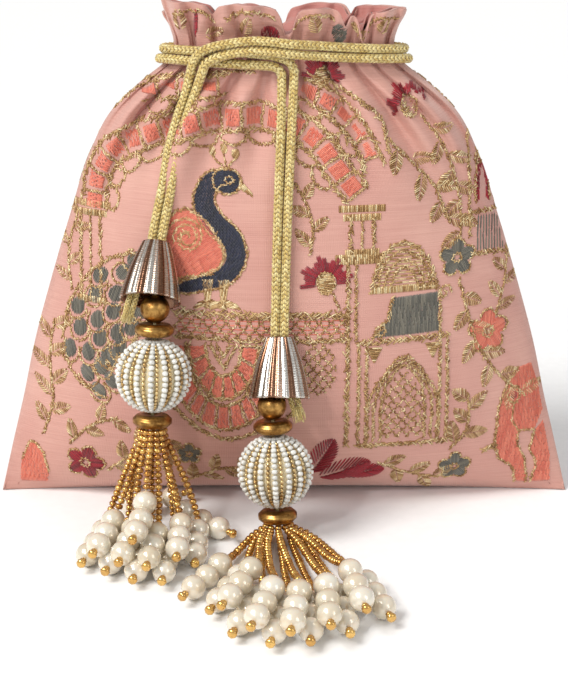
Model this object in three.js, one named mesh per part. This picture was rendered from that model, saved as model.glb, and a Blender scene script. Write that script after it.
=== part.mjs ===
// A potli: a gathered silk pouch with a lining, two drawcords and a beaded tassel on each.
// Millimetres. +X is to the right, +Y away from the front face, +Z up; the origin is the
// middle of the flat base that the pouch stands on.
import * as THREE from "three";

// Wall thicknesses of the pouch, plain and where the pleats bunch at the neck.
const PANEL_WALL = { plain: 1.5, neck: 3 };
const LINING_GAP = { plain: 0.4, neck: 5 };
const LINING_WALL = { plain: 0.8, neck: 1.6 };
const NECK_STARTS = [143, 153];
const NECK_ENDS = [169, 177];
const SEAM_GAP = 0.15;
const SLIT_HALF = 2.6;
const SLIT_Z = [155, 168];
const CORNER_FORWARD = 9;
const CORNER_FADES_AT = 70;
const BASE_SEAM_Y = 7;
const BASE_ROUNDING = 20;
const FRILL_WAVE = 1.6;
const FRILL_LOBE = 1.4;
const FRILL_BENDS = 2.5;
const PANEL_COLUMNS = 14;
const BASE_ROWS = 2;

// The pouch's outline, station by station: height, half width, front face y, back face y.
const STATIONS = [
  [0, 105, -5, 20],
  [4, 104, -14, 26],
  [10, 102.6, -22, 30],
  [20, 100.2, -29, 33],
  [35, 96.4, -33.5, 34],
  [55, 91.8, -34.3, 34.3],
  [80, 84.4, -31.5, 32],
  [105, 76.2, -27.5, 27.5],
  [125, 69.2, -24, 24],
  [143, 58.8, -19.5, 19.5],
  [153, 47.6, -16.8, 16.8],
  [157, 42.4, -15.8, 15.8],
  [161, 39, -15.2, 15.2],
  [166, 38.4, -15.2, 15.2],
  [169, 39.2, -15.4, 15.4],
  [178, 41.5, -17, 17],
];

// Cords, beads and caps.
const CORD_RADIUS = 1.5;
const CORD_SIDES = 8;
const CORD_STEP = { held: 5, hanging: 8 };
const CONE = { height: 21, base: 10.5, middle: 7.4, top: 4.6, wall: 0.9 };
const BEAD = { radius: 5, half: 4.8 };
const DISC = { radius: 6.75, half: 2.2, face: 5.2, edge: 0.7, chamfer: 1.5 };
const BALL = { radius: 13.3, beading: 1.9, core: 11.1, hole: 0.24 };
const BORE = 0.95;
const THREAD_RADIUS = 0.6;
const LATHE_SIDES = 14;
const TOUCH = 0.3;
const STRAND_RING = 4.2;
const STRAND_SIDES = 6;
const ROPE_RADIUS = 1.15;
const PEARL = { radius: 3.6, pitch: 8.8, count: 3 };
const STOP = { radius: 2.4, length: 4.6 };
const KNOT_RADIUS = 0.7;

function finish(colour, roughness, metalness) {
  return new THREE.MeshStandardMaterial({ color: colour, roughness, metalness });
}

const SILK = finish("#e3a89a", 0.55, 0);
const LINING = finish("#d9a69a", 0.7, 0);
const CORD = finish("#c9b06a", 0.5, 0.1);
const ANTIQUE_GOLD = finish("#a9793a", 0.35, 0.9);
const COPPER = finish("#b98a66", 0.35, 0.85);
const SEEDS = finish("#eadfc4", 0.3, 0.1);
const RESIN = finish("#e9d9b4", 0.5, 0);
const PEARLS = finish("#f0e6d6", 0.25, 0);
const THREAD = finish("#d8c8a0", 0.8, 0);

const part = new THREE.Group();

function add(name, geometry, material) {
  const mesh = new THREE.Mesh(geometry, material);
  mesh.name = name;
  part.add(mesh);
  return mesh;
}

// Turns a piece's own +Z axis to a direction and stands its origin at a point.
function place(mesh, point, axis) {
  mesh.quaternion.setFromUnitVectors(new THREE.Vector3(0, 0, 1), axis);
  mesh.position.copy(point);
}

const smooth = (from, to, value) => THREE.MathUtils.smoothstep(value, from, to);
const mix = THREE.MathUtils.lerp;

// How much of the neck's bunching a height has: 0 on the belly and at the frill's edge, 1 between.
const bunching = (z) => smooth(...NECK_STARTS, z) * (1 - smooth(...NECK_ENDS, z));
const seamY = (z) => -CORNER_FORWARD * Math.max(0, 1 - z / CORNER_FADES_AT) ** 2;
const thickness = (wall, z) => mix(wall.plain, wall.neck, bunching(z));

// Depths below the outer face: 0 is the outer face itself.
const outerFace = () => 0;
const panelInside = (z) => thickness(PANEL_WALL, z);
const liningOutside = (z) => panelInside(z) + thickness(LINING_GAP, z);
const liningInside = (z) => liningOutside(z) + thickness(LINING_WALL, z);

// A point of the pouch. side is -1 on the front and 1 on the back, across runs from -1 to 1
// between the side seams, row 0 is the base seam and the stations follow the base rows.
function pouchPoint(side, across, row, depthOf, seamGap) {
  const station = STATIONS[Math.max(0, row - BASE_ROWS)];
  const [height, halfWidth, frontY, backY] = station;
  const depth = depthOf(height);
  const turn = (across * Math.PI) / 2;
  const roundness = 1.5 - 0.5 * smooth(110, 160, height);
  const share = Math.cos(turn) ** roundness;
  const x = (halfWidth - depth) * Math.sin(turn);
  const inSlit = height > SLIT_Z[0] && height < SLIT_Z[1];
  const seam = seamY(height) + side * (inSlit && seamGap ? SLIT_HALF : seamGap);
  const face = side < 0 ? frontY + depth : backY - depth;
  let y = mix(seam, face, share);
  if (row < BASE_ROWS) {
    const baseSeam = mix(seam, BASE_SEAM_Y + side * seamGap, share);
    y = mix(baseSeam, y, row / BASE_ROWS);
  }
  const frill = smooth(166, 178, height);
  y += FRILL_WAVE * frill * Math.sin(FRILL_BENDS * Math.PI * (x / halfWidth));
  const lobe = FRILL_LOBE * frill * Math.cos(2 * FRILL_BENDS * Math.PI * (x / halfWidth));
  const lift = depth * Math.max(0, 1 - height / BASE_ROUNDING);
  return [x, y, height + lift + lobe];
}

// A closed sheet between an outer and an inner grid of points, columns by rows. A wrapped
// sheet joins its last column to its first; a sheet that is sewn shut has no rim at row 0.
function sheet(outer, inner, wrapped) {
  const columns = outer.length;
  const rows = outer[0].length;
  const points = [...outer.flat(), ...inner.flat()];
  const at = (layer, column, row) => (layer * columns + (column % columns)) * rows + row;
  const faces = [];
  const quad = (a, b, c, d) => faces.push(a, b, c, a, c, d);
  for (let i = 0; i < columns - (wrapped ? 0 : 1); i++) {
    for (let j = 0; j < rows - 1; j++) {
      quad(at(0, i, j), at(0, i + 1, j), at(0, i + 1, j + 1), at(0, i, j + 1));
      quad(at(1, i, j), at(1, i, j + 1), at(1, i + 1, j + 1), at(1, i + 1, j));
    }
    const top = rows - 1;
    quad(at(0, i, top), at(0, i + 1, top), at(1, i + 1, top), at(1, i, top));
    if (!wrapped) quad(at(0, i, 0), at(1, i, 0), at(1, i + 1, 0), at(0, i + 1, 0));
  }
  if (!wrapped) {
    const last = columns - 1;
    for (let j = 0; j < rows - 1; j++) {
      quad(at(0, 0, j), at(0, 0, j + 1), at(1, 0, j + 1), at(1, 0, j));
      quad(at(0, last, j), at(1, last, j), at(1, last, j + 1), at(0, last, j + 1));
    }
  }
  const geometry = new THREE.BufferGeometry();
  geometry.setAttribute("position", new THREE.Float32BufferAttribute(points.flat(), 3));
  geometry.setIndex(faces);
  return geometry;
}

const ROWS = BASE_ROWS + STATIONS.length;
const column = (side, across, depthOf, gap) =>
  Array.from({ length: ROWS }, (_, row) => pouchPoint(side, across, row, depthOf, gap));

// The columns of one side, left to right as seen from outside that side.
function sideColumns(side, depthOf, gap, count) {
  return Array.from({ length: count }, (_, i) =>
    column(side, side * (1 - (2 * i) / PANEL_COLUMNS), depthOf, gap),
  );
}

function panel(side) {
  const count = PANEL_COLUMNS + 1;
  const outer = sideColumns(side, outerFace, SEAM_GAP, count);
  const inner = sideColumns(side, panelInside, SEAM_GAP, count);
  return sheet(outer, inner, false);
}

function lining() {
  const loop = (depthOf) => [
    ...sideColumns(-1, depthOf, 0, PANEL_COLUMNS),
    ...sideColumns(1, depthOf, 0, PANEL_COLUMNS),
  ];
  return sheet(loop(liningOutside), loop(liningInside), true);
}

// A cord along hand-set points, as a swept round section with closed ends.
function cord(points, step) {
  const path = new THREE.CatmullRomCurve3(
    points.map((p) => new THREE.Vector3(...p)),
    false,
    "centripetal",
  );
  const section = new THREE.Shape().absarc(0, 0, CORD_RADIUS, 0, 2 * Math.PI);
  return new THREE.ExtrudeGeometry(section, {
    steps: Math.ceil(path.getLength() / step),
    curveSegments: CORD_SIDES / 2,
    extrudePath: path,
  });
}

// A turned piece from [radius, height] pairs along its outside, closed on itself.
function turned(profile, sides = LATHE_SIDES) {
  const closed = [...profile, profile[0]].map(([r, z]) => new THREE.Vector2(r, z));
  return new THREE.LatheGeometry(closed, sides).rotateX(Math.PI / 2);
}

// A round bead with a bore along its axis.
function boredBead(radius, half, arcs) {
  const steepest = Math.acos(BORE / radius);
  const profile = [];
  for (let i = 0; i <= arcs; i++) {
    const rise = mix(-steepest, steepest, i / arcs);
    profile.push([radius * Math.cos(rise), (half * Math.sin(rise)) / Math.sin(steepest)]);
  }
  return turned(profile);
}

function disc() {
  const { radius, half, face, edge, chamfer } = DISC;
  return turned([
    [BORE, -half],
    [face, -half],
    [radius - 0.5, -chamfer],
    [radius, -edge],
    [radius, edge],
    [radius - 0.5, chamfer],
    [face, half],
    [BORE, half],
  ]);
}

// The beaded cover of the ball: a round shell, open at both poles for the thread.
function ballBeading() {
  const arc = (radius, count, from, to) =>
    Array.from({ length: count + 1 }, (_, i) => {
      const polar = mix(from, to, i / count);
      return [radius * Math.sin(polar), radius * Math.cos(polar)];
    });
  const { radius, beading, hole } = BALL;
  return turned([
    ...arc(radius, 9, Math.PI - hole, hole),
    ...arc(radius - beading, 7, hole, Math.PI - hole),
  ]);
}

function coneCap() {
  const { height, base, middle, top, wall } = CONE;
  return turned([
    [base, 0],
    [middle, height * 0.55],
    [top, height],
    [top - wall, height],
    [middle - wall, height * 0.55],
    [base - wall, 0],
  ]);
}

function cordTuft() {
  return new THREE.LatheGeometry(
    [[0, 0], [2.1, 0.4], [2, 6], [1.4, 12], [0, 12.3]].map(([r, z]) => new THREE.Vector2(r, z)),
    CORD_SIDES,
  ).rotateX(Math.PI / 2);
}

// The outline of one strand laid out straight: its seed rope, its pearls and its stop bead.
function strandProfile(length) {
  const ropeLength = length - PEARL.count * PEARL.pitch - STOP.length;
  const profile = [[0, 0]];
  const ropeRings = 6;
  for (let i = 0; i <= ropeRings; i++) {
    profile.push([ROPE_RADIUS, (ropeLength * i) / ropeRings]);
  }
  for (let pearl = 0; pearl < PEARL.count; pearl++) {
    const start = ropeLength + pearl * PEARL.pitch;
    profile.push([KNOT_RADIUS, start + 0.2]);
    for (const share of [0.2, 0.5, 0.8]) {
      const radius = PEARL.radius * Math.sin(Math.PI * share) ** 0.6;
      profile.push([radius, start + PEARL.pitch * share]);
    }
  }
  const stop = length - STOP.length;
  profile.push([KNOT_RADIUS, stop], [STOP.radius, stop + 1.2], [STOP.radius, stop + 3.4]);
  profile.push([0, length]);
  return profile;
}

// Bends a piece turned about its z axis so that the axis follows a curve.
function bend(geometry, curve) {
  const length = curve.getLength();
  const position = geometry.attributes.position;
  const heights = [...new Set(Array.from({ length: position.count }, (_, i) => position.getZ(i)))];
  heights.sort((a, b) => a - b);
  const frames = new Map();
  let right = new THREE.Vector3(1, 0, 0);
  for (const height of heights) {
    const at = Math.min(1, Math.max(0, height / length));
    const ahead = curve.getTangentAt(at);
    right = right.clone().addScaledVector(ahead, -right.dot(ahead)).normalize();
    const up = new THREE.Vector3().crossVectors(ahead, right);
    frames.set(height, { centre: curve.getPointAt(at), right, up });
  }
  for (let i = 0; i < position.count; i++) {
    const { centre, right: along, up } = frames.get(position.getZ(i));
    const point = centre.clone();
    point.addScaledVector(along, position.getX(i)).addScaledVector(up, position.getY(i));
    position.setXYZ(i, point.x, point.y, point.z);
  }
  return geometry;
}

// One strand from its place under the lower disc to its first pearl and its stop bead.
function strand(start, axis, drop, passes, first, last) {
  const end = new THREE.Vector3(...last);
  const pearl = new THREE.Vector3(...first);
  const below = start.clone().addScaledVector(axis, -drop);
  const via = passes.map((point) => new THREE.Vector3(...point));
  const settled = pearl.clone().lerp(end, 0.3).setZ(end.z);
  const tip = end.clone().addScaledVector(end.clone().sub(settled).normalize(), STOP.length / 2);
  const points = [start, below, ...via, pearl, settled, tip];
  const curve = new THREE.CatmullRomCurve3(points, false, "centripetal");
  const profile = strandProfile(curve.getLength()).map(([r, z]) => new THREE.Vector2(r, z));
  const straight = new THREE.LatheGeometry(profile, STRAND_SIDES).rotateX(Math.PI / 2);
  return bend(straight, curve);
}

// One tassel: its two cord tails, cap, tuft, beads on their thread, and the strands below.
function tassel(side, layout) {
  const { tails, capTop, capBase, ball, axis, tuftTop, tuftEnd, strands } = layout;
  const name = (piece) => `${side}_${piece}`;
  const centre = new THREE.Vector3(...ball);
  const up = new THREE.Vector3(...axis).normalize();
  const along = (distance) => centre.clone().addScaledVector(up, distance);
  const discCentre = BALL.radius + TOUCH + DISC.half;
  const beadCentre = discCentre + DISC.half + TOUCH + BEAD.half;

  tails.forEach((points, i) => add(name(`tail_${i + 1}`), cord(points, CORD_STEP.hanging), CORD));

  const foot = new THREE.Vector3(...capBase);
  const capAxis = new THREE.Vector3(...capTop).sub(foot).normalize();
  place(add(name("cone_cap"), coneCap(), COPPER), foot, capAxis);

  const tuftFoot = new THREE.Vector3(...tuftTop);
  const tuftAxis = new THREE.Vector3(...tuftEnd).sub(tuftFoot).normalize();
  place(add(name("cord_tuft"), cordTuft(), CORD), tuftFoot, tuftAxis);

  const bead = boredBead(BEAD.radius, BEAD.half, 8);
  place(add(name("gold_bead"), bead, ANTIQUE_GOLD), along(beadCentre), up);
  place(add(name("upper_disc"), disc(), ANTIQUE_GOLD), along(discCentre), up);
  place(add(name("lower_disc"), disc(), ANTIQUE_GOLD), along(-discCentre), up);
  place(add(name("ball_core"), boredBead(BALL.core, BALL.core - 0.2, 8), RESIN), centre, up);
  place(add(name("ball_beading"), ballBeading(), SEEDS), centre, up);

  const threadTop = beadCentre + BEAD.half + 3;
  const threadFoot = -discCentre - DISC.half;
  const thread = new THREE.CylinderGeometry(
    THREAD_RADIUS,
    THREAD_RADIUS,
    threadTop - threadFoot,
    CORD_SIDES,
  ).rotateX(Math.PI / 2);
  place(add(name("core_thread"), thread, THREAD), along((threadTop + threadFoot) / 2), up);

  const sideways = new THREE.Vector3(1, 0, 0).addScaledVector(up, -up.x).normalize();
  const forward = new THREE.Vector3().crossVectors(sideways, up);
  strands.forEach(([angle, drop, passes, first, last], i) => {
    const turn = THREE.MathUtils.degToRad(angle);
    const start = along(threadFoot - TOUCH)
      .addScaledVector(sideways, STRAND_RING * Math.cos(turn))
      .addScaledVector(forward, STRAND_RING * Math.sin(turn));
    add(name(`strand_${i + 1}`), strand(start, up, drop, passes, first, last), PEARLS);
  });
}

add("front_panel", panel(-1), SILK);
add("back_panel", panel(1), SILK);
add("lining", lining(), LINING);

// Each drawcord runs once round the neck between panel and lining, leaves by the slit in one
// side seam and crosses the front face to the other side. Listed from end to end.
const DRAWCORD_A = [
  [-31.1, -16, 159], [-29.4, -16.7, 162.2], [-26.8, -17.5, 164.2], [-21.3, -18.8, 166],
  [-9.5, -20.5, 167.6], [3.2, -20.8, 166.5], [11.3, -17.8, 165.7], [20.6, -15.4, 164.8],
  [31.2, -12.1, 163.9], [38, -8, 163.3], [41.2, -4.9, 163], [41.4, -1.8, 163],
  [38.8, 0, 163], [35, 0.4, 163], [32, 3, 163.2], [28, 5.5, 163.6],
  [20, 8, 164.2], [0, 9.8, 165.2], [-20, 8, 166], [-28, 5.5, 166.3],
  [-33.2, 1.7, 166.4], [-33.2, -1.7, 166.4], [-28, -5.5, 166.1], [-20, -8, 165.4],
  [0, -9.8, 162.9], [20, -8.1, 160.6], [28, -5.9, 159.7], [32, -4, 159.4],
  [34.8, -1.6, 159.3], [37.6, -0.2, 159.3], [40.5, -0.2, 159.3], [43, -2.6, 159.4],
  [42.2, -6.1, 159.8], [38.2, -9.3, 160.2], [31.2, -12.8, 160.7], [20.6, -15.7, 161.4],
  [11.3, -17.9, 162.2], [3.2, -20.8, 163.2], [-9.5, -20.5, 164.3], [-19.6, -19.1, 162.8],
  [-24.6, -18.3, 160.9], [-26.7, -17.8, 159.3], [-27.3, -17.4, 157.9],
];
const DRAWCORD_B = [
  [3.4, -18.3, 157.3], [2.1, -17.8, 160.1], [-3.1, -17.4, 162.1], [-9.2, -17.1, 162.9],
  [-20.6, -15.3, 163.3], [-31.1, -11.9, 163.3], [-38, -8, 163.2], [-41.2, -4.9, 163],
  [-41.4, -1.8, 163], [-38.8, 0, 163], [-35, 0.4, 163], [-32, 3, 162.6],
  [-28, 5.6, 162], [-20, 8.2, 161.2], [0, 10, 159.5], [20, 8.6, 157.8],
  [30, 6.4, 156.9], [35.2, 4.2, 156.4], [38.4, 1.6, 156.1], [38.4, -1.6, 156.1],
  [35.2, -4.2, 156.1], [30, -6.5, 156.3], [20, -8.8, 156.8], [0, -10.2, 157.9],
  [-20, -8.1, 158.9], [-28, -5.9, 159.3], [-32, -4, 159.3], [-34.8, -1.6, 159.3],
  [-37.6, -0.2, 159.3], [-40.5, -0.2, 159.3], [-43, -2.6, 159.4], [-42.2, -6.1, 159.8],
  [-38, -9.5, 160], [-31, -12.9, 159.8], [-20.5, -15.8, 159.5], [-9.2, -17.5, 159.1],
  [-4.4, -17.9, 158.8], [-1.8, -18.2, 157.9], [-0.9, -18.3, 156.3],
];
add("drawcord_a", cord(DRAWCORD_A, CORD_STEP.held), CORD);
add("drawcord_b", cord(DRAWCORD_B, CORD_STEP.held), CORD);

// A strand is given as the angle it leaves the lower disc at, how far it drops first, the
// points its rope passes, the height its pearls lie at, its first pearl and its stop bead.
tassel("left", {
  tails: [
    [
      [-27.5, -17.4, 157.1], [-29.9, -17.3, 150.4], [-32.8, -18.2, 142.5], [-36, -19.9, 131.4],
      [-38.9, -21.9, 116.3], [-40.7, -23.7, 108], [-42.1, -26.1, 101.3], [-42.6, -29.1, 96.7],
    ],
    [
      [-31.3, -15.9, 158.2], [-33.3, -15.7, 150.4], [-36.1, -16.8, 142.5], [-39.3, -18.7, 131.4],
      [-42.2, -20.9, 116.3], [-44, -22.8, 108], [-45.3, -26.1, 101.3], [-45.8, -29.1, 96.7],
    ],
  ],
  capTop: [-43.9, -27.2, 99.6],
  capBase: [-45.6, -38.4, 82.2],
  tuftTop: [-50.5, -38.6, 86.5],
  tuftEnd: [-53.8, -41.5, 75.5],
  ball: [-44.7, -43.2, 57.2],
  axis: [0.037, 0.142, 0.989],
  strands: [
    [195, 2, [[-57, -47, 18]], [-61.5, -50, 6.4], [-67, -79, 4]],
    [155, 2, [[-52.8, -50.5, 18]], [-54, -53, 6.4], [-58.5, -85, 4]],
    [270, 2, [[-45.8, -47.5, 20]], [-46, -54, 6.4], [-49, -91, 4]],
    [25, 2, [[-39, -51, 18]], [-38, -54, 6.4], [-39.5, -92, 4]],
    [345, 2, [[-33.5, -47.5, 18]], [-30, -50, 6.4], [-29.5, -79, 4]],
    [115, 2, [[-49.6, -57, 24]], [-50.8, -64, 10.8], [-53.5, -90, 9.6]],
    [65, 2, [[-42.8, -57, 24]], [-42.6, -64, 10.8], [-44.3, -93, 9.6]],
    [235, 2, [[-52, -41, 18]], [-55.5, -36.5, 6.4], [-35.5, -20.5, 4]],
    [305, 2, [[-39.5, -40, 18]], [-37, -36.5, 6.4], [-18, -56, 4]],
  ],
});
tassel("right", {
  tails: [
    [
      [3.4, -18.3, 156.4], [3.2, -19.7, 150.5], [2.7, -22.3, 140.5], [2.1, -25.3, 128.5],
      [1.3, -28.8, 110.3], [0.7, -31.8, 92.3], [0.3, -34.6, 79], [0.1, -38.1, 71.3],
      [0.1, -40, 66.3],
    ],
    [
      [-0.8, -18.3, 155.4], [-0.8, -19.8, 150.2], [-1, -22.4, 140.3], [-1.4, -25.4, 128.4],
      [-2.1, -28.9, 110.2], [-2.6, -31.9, 92.2], [-2.9, -34.6, 79], [-3.1, -38.1, 71.3],
      [-3.1, -40, 66.3],
    ],
  ],
  capTop: [-1.5, -38.8, 69.6],
  capBase: [-1.6, -46.4, 50],
  tuftTop: [2.4, -46.5, 53.5],
  tuftEnd: [5.6, -49.8, 42.5],
  ball: [-3, -50.4, 24.8],
  axis: [-0.05, 0.13, 0.99],
  strands: [
    [205, 3, [[-6.5, -58, 1.6], [-7.5, -78, 1.5]], [-7, -98, 3.8], [-15.5, -127, 4]],
    [270, 3, [[-1.5, -56, 1.6], [0, -78, 1.5]], [1, -101, 3.8], [-4, -133, 4]],
    [335, 3, [[2.5, -57, 1.6], [6, -78, 1.5]], [9, -100, 3.8], [8, -132, 4]],
    [15, 1, [[6.5, -58, 3.2], [13, -78, 1.5]], [17, -96, 3.8], [20, -127, 4]],
    [165, 1, [[-9.5, -58, 3.2], [-12.5, -73, 1.5]], [-13.5, -86, 3.8], [-23, -112, 4]],
    [125, 1, [[-5.5, -66, 5.4], [-4.6, -86, 6]], [-3, -107, 10.8], [-9.8, -134, 10]],
    [90, 1, [[-1, -67, 5.6], [2.5, -88, 6]], [5, -109, 10.8], [2, -137, 10]],
    [55, 1, [[4.5, -65, 5.4], [9.5, -84, 6]], [13, -105, 10.8], [14, -133, 10]],
  ],
});

export default part;
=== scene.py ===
# A potli of embroidered silk: cloth shell, gathered neck and frill, knitted drawcords, and
# two tassels of foil caps, beaded balls, seed ropes and pearls. Metres, in the CAD frame.
import math

import bpy
import numpy as np
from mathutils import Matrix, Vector


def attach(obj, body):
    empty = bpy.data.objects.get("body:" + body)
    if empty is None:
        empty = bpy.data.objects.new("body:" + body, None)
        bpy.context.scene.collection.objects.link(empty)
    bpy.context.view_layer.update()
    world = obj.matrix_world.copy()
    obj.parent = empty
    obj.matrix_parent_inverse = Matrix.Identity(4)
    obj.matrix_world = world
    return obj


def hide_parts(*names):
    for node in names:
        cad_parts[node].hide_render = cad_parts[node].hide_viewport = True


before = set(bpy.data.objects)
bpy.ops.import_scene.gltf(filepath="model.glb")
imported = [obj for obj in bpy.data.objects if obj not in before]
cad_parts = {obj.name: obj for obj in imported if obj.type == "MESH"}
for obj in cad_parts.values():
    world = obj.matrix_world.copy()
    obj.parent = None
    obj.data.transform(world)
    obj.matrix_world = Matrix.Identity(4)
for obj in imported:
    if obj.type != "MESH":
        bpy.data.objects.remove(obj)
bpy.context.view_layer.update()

scene = bpy.context.scene
random_draw = np.random.default_rng(11)
MM = 0.001
TAU = 2 * math.pi


# ---------------------------------------------------------------- camera, cords' routes

def add_camera():
    data = bpy.data.cameras.new("camera")
    data.lens = 86
    data.sensor_width = 36
    camera = bpy.data.objects.new("camera", data)
    camera.location = (0, -0.564, 0.240)
    camera.rotation_euler = (math.radians(72), 0, 0)
    scene.collection.objects.link(camera)
    scene.camera = camera


add_camera()


def metres(table):
    """A table of millimetres in metres, however deep its rows go."""
    if isinstance(table, (int, float)):
        return round(table * MM, 7)
    return tuple(metres(row) for row in table)


CORD_DIAMETER = 0.003
DRAWCORD_A = metres([
    (-31.1, -16, 159), (-29.4, -16.7, 162.2), (-26.8, -17.5, 164.2), (-21.3, -18.8, 166),
    (-9.5, -20.5, 167.6), (3.2, -20.8, 166.5), (11.3, -17.8, 165.7), (20.6, -15.4, 164.8),
    (31.2, -12.1, 163.9), (38, -8, 163.3), (41.2, -4.9, 163), (41.4, -1.8, 163), (38.8, 0, 163),
    (35, 0.4, 163), (32, 3, 163.2), (28, 5.5, 163.6), (20, 8, 164.2), (0, 9.8, 165.2), (-20, 8, 166),
    (-28, 5.5, 166.3), (-33.2, 1.7, 166.4), (-33.2, -1.7, 166.4), (-28, -5.5, 166.1), (-20, -8, 165.4),
    (0, -9.8, 162.9), (20, -8.1, 160.6), (28, -5.9, 159.7), (32, -4, 159.4), (34.8, -1.6, 159.3),
    (37.6, -0.2, 159.3), (40.5, -0.2, 159.3), (43, -2.6, 159.4), (42.2, -6.1, 159.8),
    (38.2, -9.3, 160.2), (31.2, -12.8, 160.7), (20.6, -15.7, 161.4), (11.3, -17.9, 162.2),
    (3.2, -20.8, 163.2), (-9.5, -20.5, 164.3), (-19.6, -19.1, 162.8), (-24.6, -18.3, 160.9),
    (-26.7, -17.8, 159.3), (-27.3, -17.4, 157.9),
])
DRAWCORD_B = metres([
    (3.4, -18.3, 157.3), (2.1, -17.8, 160.1), (-3.1, -17.4, 162.1), (-9.2, -17.1, 162.9),
    (-20.6, -15.3, 163.3), (-31.1, -11.9, 163.3), (-38, -8, 163.2), (-41.2, -4.9, 163),
    (-41.4, -1.8, 163), (-38.8, 0, 163), (-35, 0.4, 163), (-32, 3, 162.6), (-28, 5.6, 162),
    (-20, 8.2, 161.2), (0, 10, 159.5), (20, 8.6, 157.8), (30, 6.4, 156.9), (35.2, 4.2, 156.4),
    (38.4, 1.6, 156.1), (38.4, -1.6, 156.1), (35.2, -4.2, 156.1), (30, -6.5, 156.3), (20, -8.8, 156.8),
    (0, -10.2, 157.9), (-20, -8.1, 158.9), (-28, -5.9, 159.3), (-32, -4, 159.3), (-34.8, -1.6, 159.3),
    (-37.6, -0.2, 159.3), (-40.5, -0.2, 159.3), (-43, -2.6, 159.4), (-42.2, -6.1, 159.8),
    (-38, -9.5, 160), (-31, -12.9, 159.8), (-20.5, -15.8, 159.5), (-9.2, -17.5, 159.1),
    (-4.4, -17.9, 158.8), (-1.8, -18.2, 157.9), (-0.9, -18.3, 156.3),
])

# Each tassel: its two cord tails from the neck to its cap, then its cap, the cord ends
# below the cap, the ball and the axis of its beads, and its strands. A strand, still in
# millimetres, is the angle that it leaves the lower disc at, its first drop, the points that
# its rope passes, its first pearl and its stop bead.
TASSELS = {
    "left": {
        "tails": metres([
            [
                (-27.5, -17.4, 157.1), (-29.9, -17.3, 150.4), (-32.8, -18.2, 142.5),
                (-36, -19.9, 131.4), (-38.9, -21.9, 116.3), (-40.7, -23.7, 108), (-42.1, -26.1, 101.3),
                (-42.6, -29.1, 96.7),
            ],
            [
                (-31.3, -15.9, 158.2), (-33.3, -15.7, 150.4), (-36.1, -16.8, 142.5),
                (-39.3, -18.7, 131.4), (-42.2, -20.9, 116.3), (-44, -22.8, 108), (-45.3, -26.1, 101.3),
                (-45.8, -29.1, 96.7),
            ],
        ]),
        "cap_top": metres((-43.9, -27.2, 99.6)),
        "cap_base": metres((-45.6, -38.4, 82.2)),
        "ends_top": metres((-50.5, -38.6, 86.5)),
        "ends_foot": metres((-53.8, -41.5, 75.5)),
        "ball": metres((-44.7, -43.2, 57.2)),
        "axis": (0.037, 0.142, 0.989),
        "strands": [
            (195, 2, [(-57, -47, 18)], (-61.5, -50, 6.4), (-67, -79, 4)),
            (155, 2, [(-52.8, -50.5, 18)], (-54, -53, 6.4), (-58.5, -85, 4)),
            (270, 2, [(-45.8, -47.5, 20)], (-46, -54, 6.4), (-49, -91, 4)),
            (25, 2, [(-39, -51, 18)], (-38, -54, 6.4), (-39.5, -92, 4)),
            (345, 2, [(-33.5, -47.5, 18)], (-30, -50, 6.4), (-29.5, -79, 4)),
            (115, 2, [(-49.6, -57, 24)], (-50.8, -64, 10.8), (-53.5, -90, 9.6)),
            (65, 2, [(-42.8, -57, 24)], (-42.6, -64, 10.8), (-44.3, -93, 9.6)),
            (235, 2, [(-52, -41, 18)], (-55.5, -36.5, 6.4), (-35.5, -20.5, 4)),
            (305, 2, [(-39.5, -40, 18)], (-37, -36.5, 6.4), (-18, -56, 4)),
        ],
    },
    "right": {
        "tails": metres([
            [
                (3.4, -18.3, 156.4), (3.2, -19.7, 150.5), (2.7, -22.3, 140.5), (2.1, -25.3, 128.5),
                (1.3, -28.8, 110.3), (0.7, -31.8, 92.3), (0.3, -34.6, 79), (0.1, -38.1, 71.3),
                (0.1, -40, 66.3),
            ],
            [
                (-0.8, -18.3, 155.4), (-0.8, -19.8, 150.2), (-1, -22.4, 140.3), (-1.4, -25.4, 128.4),
                (-2.1, -28.9, 110.2), (-2.6, -31.9, 92.2), (-2.9, -34.6, 79), (-3.1, -38.1, 71.3),
                (-3.1, -40, 66.3),
            ],
        ]),
        "cap_top": metres((-1.5, -38.8, 69.6)),
        "cap_base": metres((-1.6, -46.4, 50)),
        "ends_top": metres((2.4, -46.5, 53.5)),
        "ends_foot": metres((5.6, -49.8, 42.5)),
        "ball": metres((-3, -50.4, 24.8)),
        "axis": (-0.05, 0.13, 0.99),
        "strands": [
            (205, 3, [(-6.5, -58, 1.6), (-7.5, -78, 1.5)], (-7, -98, 3.8), (-15.5, -127, 4)),
            (270, 3, [(-1.5, -56, 1.6), (0, -78, 1.5)], (1, -101, 3.8), (-4, -133, 4)),
            (335, 3, [(2.5, -57, 1.6), (6, -78, 1.5)], (9, -100, 3.8), (8, -132, 4)),
            (15, 1, [(6.5, -58, 3.2), (13, -78, 1.5)], (17, -96, 3.8), (20, -127, 4)),
            (165, 1, [(-9.5, -58, 3.2), (-12.5, -73, 1.5)], (-13.5, -86, 3.8), (-23, -112, 4)),
            (125, 1, [(-5.5, -66, 5.4), (-4.6, -86, 6)], (-3, -107, 10.8), (-9.8, -134, 10)),
            (90, 1, [(-1, -67, 5.6), (2.5, -88, 6)], (5, -109, 10.8), (2, -137, 10)),
            (55, 1, [(4.5, -65, 5.4), (9.5, -84, 6)], (13, -105, 10.8), (14, -133, 10)),
        ],
    },
}
CONE = {"height": 0.021, "base": 0.0105, "middle": 0.0074, "top": 0.0046}
CAP_RIBS = 26
CAP_RIDGE = 0.00085  # from one cross ridge of the cap's foil to the next
BALL_RADIUS = 0.0133
BALL_CORE = 0.0114
BALL_ROWS = 16
BEAD_HALF = 0.0048
DISC_HALF = 0.0022
BORE = 0.00095
TOUCH = 0.0003  # the gap between pieces threaded one after another
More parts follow.
